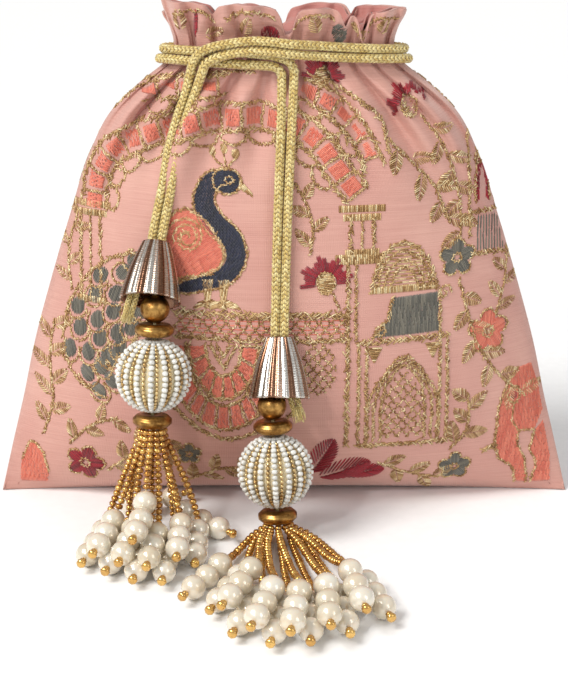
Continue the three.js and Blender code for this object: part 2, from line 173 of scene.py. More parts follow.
STRAND_RING = 0.0042
SEED_PITCH = 0.00205
PEARL_PITCH = 0.0088
PEARLS_EACH = 3
STOP_LENGTH = 0.0046
WHITE = (1.0, 1.0, 1.0)


# ---------------------------------------------------------------- plain helpers

def smoothstep(low, high, value):
    t = np.clip((value - low) / (high - low), 0, 1)
    return t * t * (3 - 2 * t)


def mix(a, b, share):
    return a + (b - a) * share


def unit(vectors):
    vectors = np.asarray(vectors, float)
    length = np.linalg.norm(vectors, axis=-1, keepdims=True)
    return vectors / np.maximum(length, 1e-12)


def hermite(a, leave, b, arrive, t):
    """Between a and b, with the slopes that the curve leaves and arrives at."""
    return (
        a * (2 * t**3 - 3 * t**2 + 1)
        + leave * (t**3 - 2 * t**2 + t)
        + b * (3 * t**2 - 2 * t**3)
        + arrive * (t**3 - t**2)
    )


def smooth_path(points, step):
    """Points an even step apart on the centripetal curve through given points."""
    p = np.array(points, float)
    p = np.vstack([2 * p[0] - p[1], p, 2 * p[-1] - p[-2]])
    t = np.linspace(0, 1, 32, endpoint=False)[:, None]
    stretches = []
    for a, b, c, d in zip(p[:-3], p[1:-2], p[2:-1], p[3:]):
        ab, bc, cd = (max(np.linalg.norm(v) ** 0.5, 1e-5) for v in (b - a, c - b, d - c))
        leave = ((b - a) / ab - (c - a) / (ab + bc) + (c - b) / bc) * bc
        arrive = ((c - b) / bc - (d - b) / (bc + cd) + (d - c) / cd) * bc
        stretches.append(hermite(b, leave, c, arrive, t))
    line = np.vstack([*stretches, p[-2][None]])
    return even_points(line, step)


def path_length(line):
    return float(np.linalg.norm(np.diff(line, axis=0), axis=1).sum())


def run_along(line):
    """How far along a line each of its points is."""
    return np.concatenate([[0], np.cumsum(np.linalg.norm(np.diff(line, axis=0), axis=1))])


def even_points(line, step):
    """The same line with its points an even step apart."""
    line = np.asarray(line, float)
    run = run_along(line)
    count = max(2, int(round(run[-1] / step)) + 1)
    at = np.linspace(0, run[-1], count)
    return np.stack([np.interp(at, run, line[:, k]) for k in range(line.shape[1])], 1)


def points_at(line, distances):
    """Points and directions at distances along a line."""
    run = run_along(line)
    reach = 0.0004

    def along(at):
        return np.stack([np.interp(at, run, line[:, k]) for k in range(3)], 1)

    distances = np.asarray(distances, float)
    ahead = along(np.minimum(distances + reach, run[-1]))
    behind = along(np.maximum(distances - reach, 0))
    return along(distances), unit(ahead - behind)


def frames(line):
    """Directions along a line, with a right and an up that don't twist."""
    ahead = unit(np.gradient(line, axis=0))
    right = np.zeros_like(line)
    side = unit(np.cross(ahead[0], [0.02, 0.1, 1.0]) + 1e-9)
    for i, direction in enumerate(ahead):
        side = unit(side - direction * side.dot(direction))
        right[i] = side
    return ahead, right, np.cross(ahead, right)


def round_axis(angle, right, up):
    """The direction at an angle between two others."""
    return math.cos(angle) * right + math.sin(angle) * up


def axis_frame(axis):
    """Two directions square to an axis: the first close to +X, the second forward."""
    up = unit(axis)
    sideways = unit(np.array([1.0, 0, 0]) - up * up[0])
    return sideways, np.cross(sideways, up), up


def add_piece(name, points, faces, finish, uv=None):
    """A mesh object at the origin from points and faces, shaded smooth."""
    mesh = bpy.data.meshes.new(name)
    mesh.from_pydata([tuple(float(v) for v in p) for p in points], [], faces)
    mesh.polygons.foreach_set("use_smooth", [True] * len(mesh.polygons))
    if uv is not None:
        layer = mesh.uv_layers.new(name="UVMap")
        corners = np.zeros(len(mesh.loops), np.int32)
        mesh.loops.foreach_get("vertex_index", corners)
        layer.data.foreach_set("uv", np.asarray(uv, np.float32)[corners].ravel())
    mesh.update()
    piece = bpy.data.objects.new(name, mesh)
    scene.collection.objects.link(piece)
    if finish:
        mesh.materials.append(finish)
    return piece


def store(piece, name, values, kind="FLOAT"):
    """Stores one value a point as a named attribute."""
    attribute = piece.data.attributes.new(name, kind, "POINT")
    field = "vector" if kind == "FLOAT_VECTOR" else "value"
    attribute.data.foreach_set(field, np.asarray(values, np.float32).ravel())


def shade(piece, value):
    """One shade for a whole piece."""
    store(piece, "shade", np.full(len(piece.data.vertices), value))


def join_pieces(name, pieces):
    """One object from several that share a finish. Their attributes are kept."""
    with bpy.context.temp_override(
        active_object=pieces[0], selected_editable_objects=pieces, object=pieces[0]
    ):
        bpy.ops.object.join()
    pieces[0].name = name
    pieces[0].data.name = name
    return pieces[0]


def grid_faces(columns, rows, wrap=False):
    """Quads of a grid whose points are listed column by column."""
    last = columns if wrap else columns - 1
    return [
        (i * rows + j, (i + 1) % columns * rows + j, (i + 1) % columns * rows + j + 1, i * rows + j + 1)
        for i in range(last)
        for j in range(rows - 1)
    ]


def closing_faces(columns, rows):
    """The quads between the last row and the first of a grid that closes on itself."""
    return [
        (i * rows + rows - 1, (i + 1) % columns * rows + rows - 1, (i + 1) % columns * rows, i * rows)
        for i in range(columns)
    ]


def turned(name, profile, sides, centre, axis, finish):
    """A turned piece on an axis. Its profile of (radius, height) pairs goes up its outside;
    a profile that doesn't start and end on the axis closes on itself."""
    sideways, forward, up = axis_frame(axis)
    on_axis = profile[0][0] == 0
    inner = profile[1:-1] if on_axis else profile
    turn = -np.arange(sides) * TAU / sides
    ring = np.cos(turn)[:, None] * sideways + np.sin(turn)[:, None] * forward
    centre = np.array(centre, float)
    points = [centre + ring[i] * r + up * h for i in range(sides) for r, h in inner]
    rows = len(inner)
    faces = grid_faces(sides, rows, wrap=True)
    if on_axis:
        low = len(points)
        points += [centre + up * profile[0][1], centre + up * profile[-1][1]]
        for i in range(sides):
            j = (i + 1) % sides
            faces.append((low, j * rows, i * rows))
            faces.append((i * rows + rows - 1, j * rows + rows - 1, low + 1))
    else:
        faces += closing_faces(sides, rows)
    return add_piece(name, points, faces, finish)


def arc(radius, start, end, count):
    """(radius, height) pairs of a round stretch, by polar angle from the top."""
    return [(radius * math.sin(a), radius * math.cos(a)) for a in np.linspace(start, end, count)]


def capped_faces(sides, rows):
    """The faces of a round piece: quads round it and a cap at each end, facing outwards."""
    faces = [face[::-1] for face in grid_faces(sides, rows, wrap=True)]
    faces.append(tuple(k * rows for k in range(sides)))
    faces.append(tuple(k * rows + rows - 1 for k in reversed(range(sides))))
    return faces


def tube(name, line, radius, sides, finish):
    """A closed round tube along a line."""
    _, right, up = frames(line)
    turn = np.arange(sides) * TAU / sides
    rows = len(line)
    points = [line[i] + radius * round_axis(a, right[i], up[i]) for a in turn for i in range(rows)]
    faces = capped_faces(sides, rows)
    uv = [(a / TAU, i / rows) for a in turn for i in range(rows)]
    return add_piece(name, points, faces, finish, uv)


# ---------------------------------------------------------------- laying small pieces

def laying_tree():
    """Lays copies of a small piece on points: each point says which way the copy runs, which
    way is outward, and how large it is."""
    tree = bpy.data.node_groups.new("laid_pieces", "GeometryNodeTree")
    socket = tree.interface.new_socket
    for name, kind in (("Places", "Geometry"), ("Piece", "Object"), ("Finish", "Material")):
        socket(name=name, in_out="INPUT", socket_type=f"NodeSocket{kind}")
    socket(name="Pieces", in_out="OUTPUT", socket_type="NodeSocketGeometry")
    nodes, links = tree.nodes, tree.links
    start = nodes.new("NodeGroupInput")
    end = nodes.new("NodeGroupOutput")

    def named(name):
        node = nodes.new("GeometryNodeInputNamedAttribute")
        node.data_type = "FLOAT_VECTOR"
        node.inputs["Name"].default_value = name
        return node.outputs["Attribute"]

    turn = nodes.new("FunctionNodeAxesToRotation")
    turn.primary_axis = "X"
    turn.secondary_axis = "Z"
    links.new(named("along"), turn.inputs["Primary Axis"])
    links.new(named("outward"), turn.inputs["Secondary Axis"])
    small = nodes.new("GeometryNodeObjectInfo")
    links.new(start.outputs["Piece"], small.inputs["Object"])
    lay_on = nodes.new("GeometryNodeInstanceOnPoints")
    links.new(start.outputs["Places"], lay_on.inputs["Points"])
    links.new(small.outputs["Geometry"], lay_on.inputs["Instance"])
    links.new(turn.outputs["Rotation"], lay_on.inputs["Rotation"])
    links.new(named("size"), lay_on.inputs["Scale"])
    real = nodes.new("GeometryNodeRealizeInstances")
    links.new(lay_on.outputs["Instances"], real.inputs["Geometry"])
    dress = nodes.new("GeometryNodeSetMaterial")
    links.new(real.outputs["Geometry"], dress.inputs["Geometry"])
    links.new(start.outputs["Finish"], dress.inputs["Material"])
    links.new(dress.outputs["Geometry"], end.inputs["Pieces"])
    return tree


LAYING = laying_tree()


def lay(name, small, places, finish):
    """One object of copies of a small piece. places is a list of (point, along, outward,
    size, shade); shade is kept as an attribute that the finish reads."""
    points = np.array([p[0] for p in places], float)
    holder = add_piece(name, points, [], None)
    spares = ("along", "outward", "size")
    for column, spare in enumerate(spares, 1):
        store(holder, spare, [p[column] for p in places], "FLOAT_VECTOR")
    store(holder, "shade", [p[4] for p in places])
    modifier = holder.modifiers.new("laid", "NODES")
    modifier.node_group = LAYING
    sockets = {s.name: s.identifier for s in LAYING.interface.items_tree}
    modifier[sockets["Piece"]] = small
    modifier[sockets["Finish"]] = finish
    depsgraph = bpy.context.evaluated_depsgraph_get()
    mesh = bpy.data.meshes.new_from_object(
        holder.evaluated_get(depsgraph), preserve_all_data_layers=True, depsgraph=depsgraph
    )
    holder.modifiers.clear()
    holder.data = mesh
    mesh.name = name
    for spare in spares:
        if spare in mesh.attributes:
            mesh.attributes.remove(mesh.attributes[spare])
    return holder


def small_piece(name, points, faces):
    """A piece to copy: kept out of the view."""
    piece = add_piece(name, points, faces, None)
    scene.collection.objects.unlink(piece)
    return piece


def stitch_piece():
    """One stitch a unit long, wide and high: a thread that dives into the cloth at each end."""
    points = [(-0.5, 0, 0), (0.5, 0, 0)]
    for x in (-0.36, 0.36):
        points += [(x, -0.5, 0.1), (x, 0, 1.0), (x, 0.5, 0.1)]
    faces = [(0, 3, 2), (0, 4, 3), (0, 2, 4), (1, 5, 6), (1, 6, 7), (1, 7, 5)]
    faces += [(2, 3, 6, 5), (3, 4, 7, 6), (4, 2, 5, 7)]
    return small_piece("stitch", points, faces)


def round_piece(name, sides, rings, squareness, hole=0.0):
    """A bead a unit across: squareness 1 is round and lower is barrel-shaped."""
    points = []
    for i in range(sides):
        a = i * TAU / sides
        for polar in np.linspace(0.001, math.pi - 0.001, rings):
            r = max(math.sin(polar) ** squareness, hole)
            x = -math.cos(polar)
            points.append((0.5 * x, 0.5 * r * math.cos(a), 0.5 * r * math.sin(a)))
    return small_piece(name, points, capped_faces(sides, rings))


STITCH = stitch_piece()
SEED = round_piece("seed", 8, 5, 0.5, 0.35)
PEARL = round_piece("pearl", 20, 13, 1.0, 0.06)


# ---------------------------------------------------------------- finishes

class Finish:
    """A node material: a Principled shader and short ways to add what drives it."""

    def __init__(self, name, colour, roughness, **sockets):
        self.material = bpy.data.materials.new(name)
        self.material.use_nodes = True
        self.nodes = self.material.node_tree.nodes
        self.links = self.material.node_tree.links
        self.shader = self.nodes["Principled BSDF"]
        self.shader.inputs["Base Color"].default_value = (*colour, 1)
        self.shader.inputs["Roughness"].default_value = roughness
        self.height = None
        for socket, value in sockets.items():
            self.shader.inputs[socket.replace("_", " ").title()].default_value = value

    def add(self, kind, inputs=(), **settings):
        """A node with its settings, and what each of its named inputs takes."""
        node = self.nodes.new(kind)
        for key, value in settings.items():
            setattr(node, key, value)
        for name, value in dict(inputs).items():
            self.feed(node.inputs[name], value)
        return node

    def feed(self, socket, value):
        """Gives a socket a number, a vector, a colour or another node's output."""
        if isinstance(value, (int, float)):
            socket.default_value = value
        elif isinstance(value, tuple):
            socket.default_value = (*value, 1) if socket.type == "RGBA" else value
        else:
            self.links.new(value, socket)

    def coordinates(self, kind="Object", scale=(1, 1, 1)):
        """Object or UV coordinates times a scale."""
        source = self.add("ShaderNodeTexCoord").outputs[kind]
        return self.add("ShaderNodeMapping", {"Vector": source, "Scale": scale}).outputs["Vector"]

    def noise(self, vector, scale, detail=2.0, roughness=0.5):
        inputs = {"Vector": vector, "Scale": scale, "Detail": detail, "Roughness": roughness}
        return self.add("ShaderNodeTexNoise", inputs).outputs["Fac"]

    def wave(self, vector, scale, direction, distortion):
        inputs = {"Vector": vector, "Scale": scale, "Distortion": distortion, "Detail Scale": 2.0}
        return self.add("ShaderNodeTexWave", inputs, bands_direction=direction).outputs["Fac"]

    def each(self):
        """The shade that each laid piece has as its own."""
        return self.add("ShaderNodeAttribute", attribute_name="shade").outputs["Fac"]

    def ramp(self, factor, *stops):
        """A colour ramp: stops are (position, linear colour)."""
        node = self.add("ShaderNodeValToRGB")
        band = node.color_ramp
        while len(band.elements) < len(stops):
            band.elements.new(0.5)
        for element, (position, colour) in zip(band.elements, stops):
            element.position = position
            element.color = (*colour, 1)
        self.links.new(factor, node.inputs["Fac"])
        return node.outputs["Color"]

    def join(self, a, b):
        return self.add("ShaderNodeMath", {0: a, 1: b}, operation="ADD").outputs["Value"]

    def colour(self, source, over=None, factor=1.0):
        """The base colour, darkened by a second colour where one is given."""
        if over is not None:
            inputs = {0: factor, 6: source, 7: over}
            source = self.add("ShaderNodeMix", inputs, data_type="RGBA", blend_type="MULTIPLY").outputs[2]
        self.links.new(source, self.shader.inputs["Base Color"])

    def rough(self, factor, low, high):
        """Roughness from low to high as a factor goes from 0 to 1."""
        inputs = {"Value": factor, "To Min": low, "To Max": high}
        result = self.add("ShaderNodeMapRange", inputs).outputs["Result"]
        self.links.new(result, self.shader.inputs["Roughness"])

    def bump(self, source, distance, strength):
        """Relief on top of any that the finish already has."""
        inputs = {"Height": source, "Distance": distance, "Strength": strength}
        node = self.add("ShaderNodeBump", inputs)
        if self.height is not None:
            self.links.new(self.height, node.inputs["Normal"])
        self.height = node.outputs["Normal"]
        self.links.new(self.height, self.shader.inputs["Normal"])


def linear(red, green, blue):
    """A shader colour from the 0 to 255 values that a dyer's card would give."""
    return tuple((v / 255) ** 2.2 for v in (red, green, blue))


def silk_finish(name, light, dark):
    """Plain-woven slub silk: threads, thick and thin picks across, and a soft sheen."""
    silk = Finish(name, light, 0.55, sheen_weight=0.45, sheen_roughness=0.4)
    silk.shader.inputs["Sheen Tint"].default_value = (1.0, 0.86, 0.80, 1)
    cloth = silk.coordinates("UV")
    picks = silk.noise(silk.coordinates("UV", (34, 1900, 1)), 1.0, 3.0, 0.6)
    ends = silk.noise(silk.coordinates("UV", (1500, 30, 1)), 1.0, 2.0)
    mottle = silk.noise(cloth, 26.0, 3.0)
    tone = silk.ramp(mottle, (0.32, dark), (0.68, light))
    streaks = silk.ramp(picks, (0.30, (0.86, 0.80, 0.79)), (0.62, WHITE))
    silk.colour(tone, streaks, 0.75)
    silk.rough(picks, 0.42, 0.66)
    warp = silk.wave(cloth, 520.0, "X", 0.6)
    weft = silk.wave(cloth, 460.0, "Y", 0.9)
    silk.bump(silk.noise(cloth, 48.0, 2.0), 0.0016, 0.35)
    silk.bump(silk.join(warp, weft), 0.00006, 0.6)
    silk.bump(silk.join(picks, ends), 0.00012, 0.5)
    return silk.material


def floss_finish(name, light, dark):
    """Embroidery floss: each stitch its own shade, with fine filaments along it."""
    floss = Finish(name, light, 0.42, sheen_weight=0.25, coat_weight=0.05)
    tone = floss.ramp(floss.each(), (0.0, dark), (1.0, light))
    grain = floss.noise(floss.coordinates(), 2600.0, 3.0)
    floss.colour(tone, floss.ramp(grain, (0.3, (0.72, 0.72, 0.72)), (0.7, WHITE)), 0.7)
    floss.rough(grain, 0.32, 0.58)
    floss.bump(grain, 0.00008, 0.6)
    return floss.material


def zari_finish(name, bright, mid, dark):
    """Metal-wrapped thread: a fine noise paints a highlight where the wrap turns and shade where it dives;
    roughness and relief follow the same noise.
    """
    zari = Finish(name, mid, 0.33, metallic=0.35)
    tone = zari.ramp(zari.each(), (0.0, dark), (0.55, mid), (1.0, bright))
    wrap = zari.noise(zari.coordinates(), 3400.0, 2.0, 0.7)
    # Painted highlight and shade: the fine wrap noise lightens the colour where the wrap turns and darkens
    # it where it dives.
    zari.colour(tone, zari.ramp(wrap, (0.34, (0.56, 0.47, 0.38)), (0.6, WHITE)), 0.8)
    zari.rough(wrap, 0.22, 0.5)
    zari.bump(wrap, 0.00012, 0.8)
    return zari.material


def metal_finish(name, light, dark, roughness):
    """Antiqued metal: darker in patches, with a fine brushed grain."""
    metal = Finish(name, light, roughness, metallic=1.0)
    patches = metal.noise(metal.coordinates(), 420.0, 4.0, 0.6)
    metal.colour(metal.ramp(patches, (0.36, dark), (0.62, light)))
    metal.rough(patches, roughness + 0.14, roughness - 0.06)
    metal.bump(metal.noise(metal.coordinates("Object", (1, 1, 6)), 1800.0), 0.00003, 0.4)
    return metal.material


def foil_finish():
    """Ribs of silver and copper foil ribbon, cross-ridged and rubbed in patches, with painted shade off the
    rib crests, between the cross ridges and inside the lip.
    """
    foil = Finish("cap_foil", linear(225, 218, 210), 0.24, metallic=1.0)
    tone = foil.ramp(
        foil.each(),
        (0.0, linear(104, 72, 54)),
        (0.40, linear(186, 146, 122)),
        (0.58, linear(196, 190, 182)),
        (1.0, linear(246, 244, 238)),
    )
    rub = foil.noise(foil.coordinates("Object", (1, 1, 2.5)), 900.0, 3.0)
    foil.colour(tone, foil.ramp(rub, (0.3, (0.55, 0.5, 0.48)), (0.6, WHITE)), 0.6)
    foil.rough(rub, 0.16, 0.36)
    foil.bump(rub, 0.00006, 0.5)
    return foil.material


def pearl_finish():
    """Imitation pearl: a bright coat over a warm body, rosier in soft bands."""
    pearl = Finish("pearl", linear(240, 232, 214), 0.2, metallic=0.28, coat_weight=0.9, coat_roughness=0.05)
    pearl.shader.inputs["Subsurface Weight"].default_value = 0.15
    pearl.shader.inputs["Subsurface Radius"].default_value = (0.004, 0.003, 0.002)
    pearl.shader.inputs["Subsurface Scale"].default_value = 0.4
    bands = pearl.noise(pearl.coordinates(), 140.0, 2.0)
    tone = pearl.ramp(pearl.each(), (0.0, linear(218, 208, 186)), (1.0, linear(236, 230, 216)))
    rose = pearl.ramp(bands, (0.35, linear(248, 234, 218)), (0.65, WHITE))
    pearl.colour(tone, rose, 0.6)
    pearl.rough(bands, 0.17, 0.28)
    return pearl.material


def seed_finish(name, light, dark, metal, roughness, coat):
    """Glass seeds: each bead its own shade, glossy, darker in patches of fine grain."""
    seed = Finish(name, light, roughness, metallic=metal, coat_weight=coat, coat_roughness=0.05)
    tone = seed.ramp(seed.each(), (0.0, dark), (1.0, light))
    grain = seed.noise(seed.coordinates(), 1500.0, 2.0, 0.6)
    seed.colour(tone, seed.ramp(grain, (0.32, (0.6, 0.55, 0.5)), (0.6, WHITE)), 0.55)
    seed.rough(grain, roughness, roughness + 0.16)
    return seed.material


def yarn_finish(name, light, mid, dark):
    """The drawcord's yarn: lustrous; the stitches are paler, each its own shade, and the core between them
    is painted dark as shade.
    """
    yarn = Finish(name, light, 0.42, metallic=0.25, sheen_weight=0.3)
    # Painted shade: the ramp's dark end, where the core's shade sits, stands for shade between the
    # stitches.
    tone = yarn.ramp(yarn.each(), (0.0, dark), (0.45, mid), (1.0, light))
    fibre = yarn.noise(yarn.coordinates(), 2800.0, 3.0, 0.65)
    yarn.colour(tone, yarn.ramp(fibre, (0.32, (0.55, 0.45, 0.33)), (0.62, WHITE)), 0.8)
    yarn.rough(fibre, 0.3, 0.55)
    yarn.bump(fibre, 0.0001, 0.7)
    return yarn.material


PINK_SILK = silk_finish("pink_silk", linear(207, 158, 144), linear(195, 142, 130))
LINING_SILK = silk_finish("lining_cloth", linear(196, 132, 122), linear(170, 106, 98))
CORAL = floss_finish("coral_floss", linear(236, 138, 112), linear(216, 108, 86))
GREY_GREEN = floss_finish("grey_green_floss", linear(126, 120, 106), linear(86, 84, 76))
CRIMSON = floss_finish("crimson_floss", linear(176, 22, 44), linear(112, 8, 24))
NAVY = floss_finish("navy_floss", linear(36, 40, 66), linear(18, 20, 38))
ZARI = zari_finish("gold_zari", linear(252, 236, 192), linear(214, 180, 128), linear(158, 118, 74))
CORD_YARN = yarn_finish("cord_yarn", linear(240, 226, 164), linear(214, 188, 112), linear(140, 104, 50))
ANTIQUE_GOLD = metal_finish("antique_gold", linear(190, 146, 84), linear(122, 86, 46), 0.3)
FOIL = foil_finish()
PEARL_WHITE = pearl_finish()
WHITE_SEEDS = seed_finish("white_seeds", linear(240, 240, 234), linear(214, 214, 208), 0.0, 0.16, 0.6)
GOLD_SEEDS = seed_finish("gold_seeds", linear(236, 190, 104), linear(176, 118, 46), 0.85, 0.14, 0.8)
PALE_GOLD_SEEDS = seed_finish(
    "pale_gold_seeds", linear(232, 206, 150), linear(176, 140, 84), 0.8, 0.18, 0.6
)
CORE_THREAD = floss_finish("bead_thread", linear(220, 204, 164), linear(196, 176, 130))
CORE_RESIN = seed_finish("ball_core", linear(236, 222, 186), linear(226, 208, 166), 0.0, 0.4, 0.1)


# ---------------------------------------------------------------- the pouch's cloth

# The pouch's outline in millimetres, as the CAD has it: height, half width, front y, back y.
STATIONS = np.array([
    [0, 105, -5, 20], [4, 104, -14, 26], [10, 102.6, -22, 30], [20, 100.2, -29, 33],
    [35, 96.4, -33.5, 34], [55, 91.8, -34.3, 34.3], [80, 84.4, -31.5, 32],
    [105, 76.2, -27.5, 27.5], [125, 69.2, -24, 24], [143, 58.8, -19.5, 19.5],
    [153, 47.6, -16.8, 16.8], [157, 42.4, -15.8, 15.8], [161, 39, -15.2, 15.2],
    [166, 38.4, -15.2, 15.2], [169, 39.2, -15.4, 15.4], [178, 41.5, -17, 17],
])
CLOTH_TOP = 178.0
FRILL_STARTS = 168.0
BASE_SEAM_Y = 7.0
CLOTH_WALL = 0.9
LINING_FACES = (2.2, 2.8)  # how far in from the outer face the lining's two faces lie
GATHERED_AT = 161.0  # where the drawcords pull the neck in most
UNDER_CORDS = (147, 155, 168, 172)  # the pleats lie flat between the two middle heights
CHANNEL = (144, 151, 169.5, 173.5)  # the lining stands in between the two middle heights
CHANNEL_DEPTH = 5.8
CORNER_TUCK = 3.5  # how far in the lining stands at the foot's corners
SEAM_FORWARD = 9.0  # how far forward the side seams come at the foot
SEAM_STRAIGHT_AT = 70.0
SEAM_GAP = 0.1
LOBE_BULGE = 4.6
FRILL_TUCK = 2.2  # how far in the frill is held just over the cords
FRILL_LIFT = 2.2
RUFFLE = 0.9
HEM_FOLD = 0.45

# Pleats that fan out below the neck: where on the half they start, how far they lean
# outwards on the way down, their depth, width and the height that they fade at.
PLEATS = [
    (-0.88, -0.10, 3.2, 0.08, 100), (-0.70, -0.12, 4.8, 0.09, 84), (-0.50, -0.14, 4.4, 0.08, 100),
    (-0.33, -0.10, 6.0, 0.08, 92), (-0.17, -0.06, 4.8, 0.07, 110), (0.00, 0.00, 3.2, 0.07, 118),
    (0.16, 0.06, 4.6, 0.07, 114), (0.31, 0.12, 6.0, 0.08, 94), (0.47, 0.12, 4.6, 0.08, 102),
    (0.64, 0.14, 5.4, 0.10, 86), (0.84, 0.10, 3.4, 0.09, 100),
]
# The frill's lobes end at these shares of the half width; each end is a notch of this depth.
NOTCHES = [(-1.0, 0.0), (-0.60, 3.0), (0.03, 10.0), (0.50, 4.5), (0.68, 9.0), (1.0, 1.0)]


def station(height, column):
    """An even curve through one column of the stations."""
    z, value = STATIONS[:, 0], STATIONS[:, column]
    slope = np.gradient(value, z)
    height = np.clip(height, z[0], z[-1])
    i = np.clip(np.searchsorted(z, height, side="right") - 1, 0, len(z) - 2)
    wide = z[i + 1] - z[i]
    t = (height - z[i]) / wide
    return hermite(value[i], slope[i] * wide, value[i + 1], slope[i + 1] * wide, t)


def pleating(across, height, side):
    """How far the folds below and at the neck stand out from the plain face."""
    out = np.zeros(np.broadcast(across, height).shape)
    lean = 1 - smoothstep(90, 158, height)
    for place, drift, depth, width, fades in PLEATS:
        centre = place * -side + drift * -side * lean
        s = (across - centre) / (width * (1 + 0.9 * lean))
        strength = smoothstep(fades, 156, height) * (1 - 0.6 * smoothstep(163, 172, height))
        out = out + depth * strength * (np.exp(-(s**2)) - 1.25 * np.exp(-(((s - 1.05) / 0.5) ** 2)))
    gathers = np.exp(-(((height - GATHERED_AT) / 11) ** 2))
    ripple = np.cos(across * 41 + 2.2 * np.sin(across * 7 + side))
    soft = 0.5 * np.sin(across * 5.3 + height * 0.043 + side) * smoothstep(20, 60, height)
    soft = soft * (1 - smoothstep(120, 150, height))
    out = out + 1.2 * gathers * ripple + soft
    foot, start, end, top = UNDER_CORDS
    under_cords = smoothstep(foot, start, height) * (1 - smoothstep(end, top, height))
    return out - under_cords * (np.maximum(out - 0.2, 0) + np.minimum(out + 2.6, 0))


def frill(across, side):
    """How far a lobe of the frill bulges out, and how far its hem dips."""
    share = np.sin(across * math.pi / 2) * -side
    bulge = np.zeros_like(share)
    dip = np.zeros_like(share)
    for (left, _), (right, _) in zip(NOTCHES[:-1], NOTCHES[1:]):
        t = np.clip((share - left) / (right - left), 0, 1)
        bulge = bulge + np.sin(math.pi * t) ** 0.8 * min(1, (right - left) * 1.8)
    for place, depth in NOTCHES:
        dip = dip + depth * np.exp(-(((share - place) / 0.045) ** 2))
        dip = dip + 0.25 * depth * np.exp(-(((share - place) / 0.16) ** 2))
    return bulge, dip


def cloth_point(side, across, height, inset=0.0):
    """A point of the cloth's outer face in metres. side is -1 on the front and 1 on the back,
    across runs from -1 to 1 between the side seams. inset moves it inwards."""
    across = np.asarray(across, float)
    height = np.asarray(height, float)
    tuck = 0
    if inset > 2 * CLOTH_WALL:
        # this is the lining
        foot, start, end, top = CHANNEL
        tuck = CORNER_TUCK * (1 - smoothstep(0, 45, height))
        channel = smoothstep(foot, start, height) * (1 - smoothstep(end, top, height))
        inset = inset + CHANNEL_DEPTH * channel
    half, front, back = (station(height, k) for k in (1, 2, 3))
    turn = across * math.pi / 2
    share = np.maximum(np.cos(turn), 0) ** (1.5 - 0.5 * smoothstep(110, 160, height))
    seam = -SEAM_FORWARD * np.maximum(0, 1 - height / SEAM_STRAIGHT_AT) ** 2 + side * SEAM_GAP
    face = front if side < 0 else back
    stands = smoothstep(0, 12, height) * np.minimum(1, 2.2 * np.maximum(np.cos(turn), 0))
    frill_share = smoothstep(166, 177, height)
    bulge, dip = frill(across, side)
    top_drop = (0.8 + 2.2 * smoothstep(-0.1, 0.9, np.sin(turn))) if side < 0 else 4.0
    drop = (dip + top_drop) * smoothstep(FRILL_STARTS, CLOTH_TOP, height)
    y = mix(seam, face, share) + side * pleating(across, height, side) * stands
    ruffle = RUFFLE * np.sin(across * 23 + 1.3 * side) * frill_share
    y = y + side * (frill_share * (LOBE_BULGE * bulge - FRILL_TUCK) + ruffle) * stands
    hem = smoothstep(171.6, 172.4, height) * HEM_FOLD
    y = y + side * (hem - inset) * np.minimum(1, 3 * np.maximum(np.cos(turn), 0))
    x = (half - inset - tuck) * np.sin(turn)
    x = x + 1.2 * frill_share * np.sin(across * 9)
    return np.stack([x, y, height + FRILL_LIFT * frill_share - drop], -1) * MM


def cloth_heights(rows):
    """Heights of the cloth's rows: closer together at the foot, neck and hem."""
    bands = [(0, 12, 0.14), (12, 110, 0.34), (110, 150, 0.2), (150, 171, 0.18), (171, 178, 0.14)]
    stops = [np.linspace(a, b, max(2, int(rows * share)), endpoint=False) for a, b, share in bands]
    return np.concatenate([*stops, [CLOTH_TOP]])


def cloth_grid(side, columns, rows, inset):
    """Columns of points from the base seam, along the flat base, and up to the hem."""
    across = np.linspace(-1, 1, columns)
    # columns bunch towards the side seams, where the cloth turns most
    across = 0.75 * across + 0.25 * np.sin(across * math.pi / 2)
    heights = cloth_heights(rows)
    wall = cloth_point(side, across[:, None], heights[None, :], inset)
    foot = wall[:, :1]
    seam = foot.copy()
    share = np.maximum(np.cos(across * math.pi / 2), 0)[:, None] ** 1.5
    seam[:, :, 1] = mix(foot[:, :, 1], (BASE_SEAM_Y + side * SEAM_GAP) * MM, share)
    under = [mix(seam, foot, t) for t in (0, 0.25, 0.5, 0.75)]
    grid = np.concatenate([*under, wall], axis=1)
    lift = inset * MM * np.maximum(0, 1 - grid[:, :, 2] / (20 * MM))
    grid[:, :, 2] += lift
    run = np.concatenate([[0, 0.005, 0.010, 0.015], 0.020 + heights * MM])
    uv = np.stack(np.broadcast_arrays(across[:, None] * 0.115, run[None, :]), -1)
    return grid, uv


def closed_cloth(name, side, columns, rows, depths, finish):
    """A sheet of cloth with a wall: an outer and an inner grid, joined round the rim."""
    outer, uv = cloth_grid(side, columns, rows, depths[0])
    inner, _ = cloth_grid(side, columns, rows, depths[1])
    count = outer.shape[1]
    points = np.concatenate([outer.reshape(-1, 3), inner.reshape(-1, 3)])
    shift = columns * count
    faces = grid_faces(columns, count)
    faces += [tuple(shift + v for v in face[::-1]) for face in grid_faces(columns, count)]
    edge = [i * count for i in range(columns)]
    edge += [(columns - 1) * count + j for j in range(1, count)]
    edge += [i * count + count - 1 for i in reversed(range(columns - 1))]
    edge += list(reversed(range(1, count - 1)))
    for a, b in zip(edge, edge[1:] + edge[:1]):
        faces.append((b, a, shift + a, shift + b))
    if side > 0:
        faces = [face[::-1] for face in faces]
    return add_piece(name, points, faces, finish, np.concatenate([uv.reshape(-1, 2)] * 2))


def pouch():
    """Two outer cloths and two linings. The pair of linings stands for the one in the CAD."""
    for name, side in (("front", -1), ("back", 1)):
        cloth = closed_cloth(f"{name}_cloth", side, 190, 116, (0, CLOTH_WALL), PINK_SILK)
        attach(cloth, "bag")
        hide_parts(f"{name}_panel")
        lining = closed_cloth(f"{name}_lining", side, 90, 64, LINING_FACES, LINING_SILK)
        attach(lining, "bag")
    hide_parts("lining")


pouch()


# ---------------------------------------------------------------- drawcords and tails

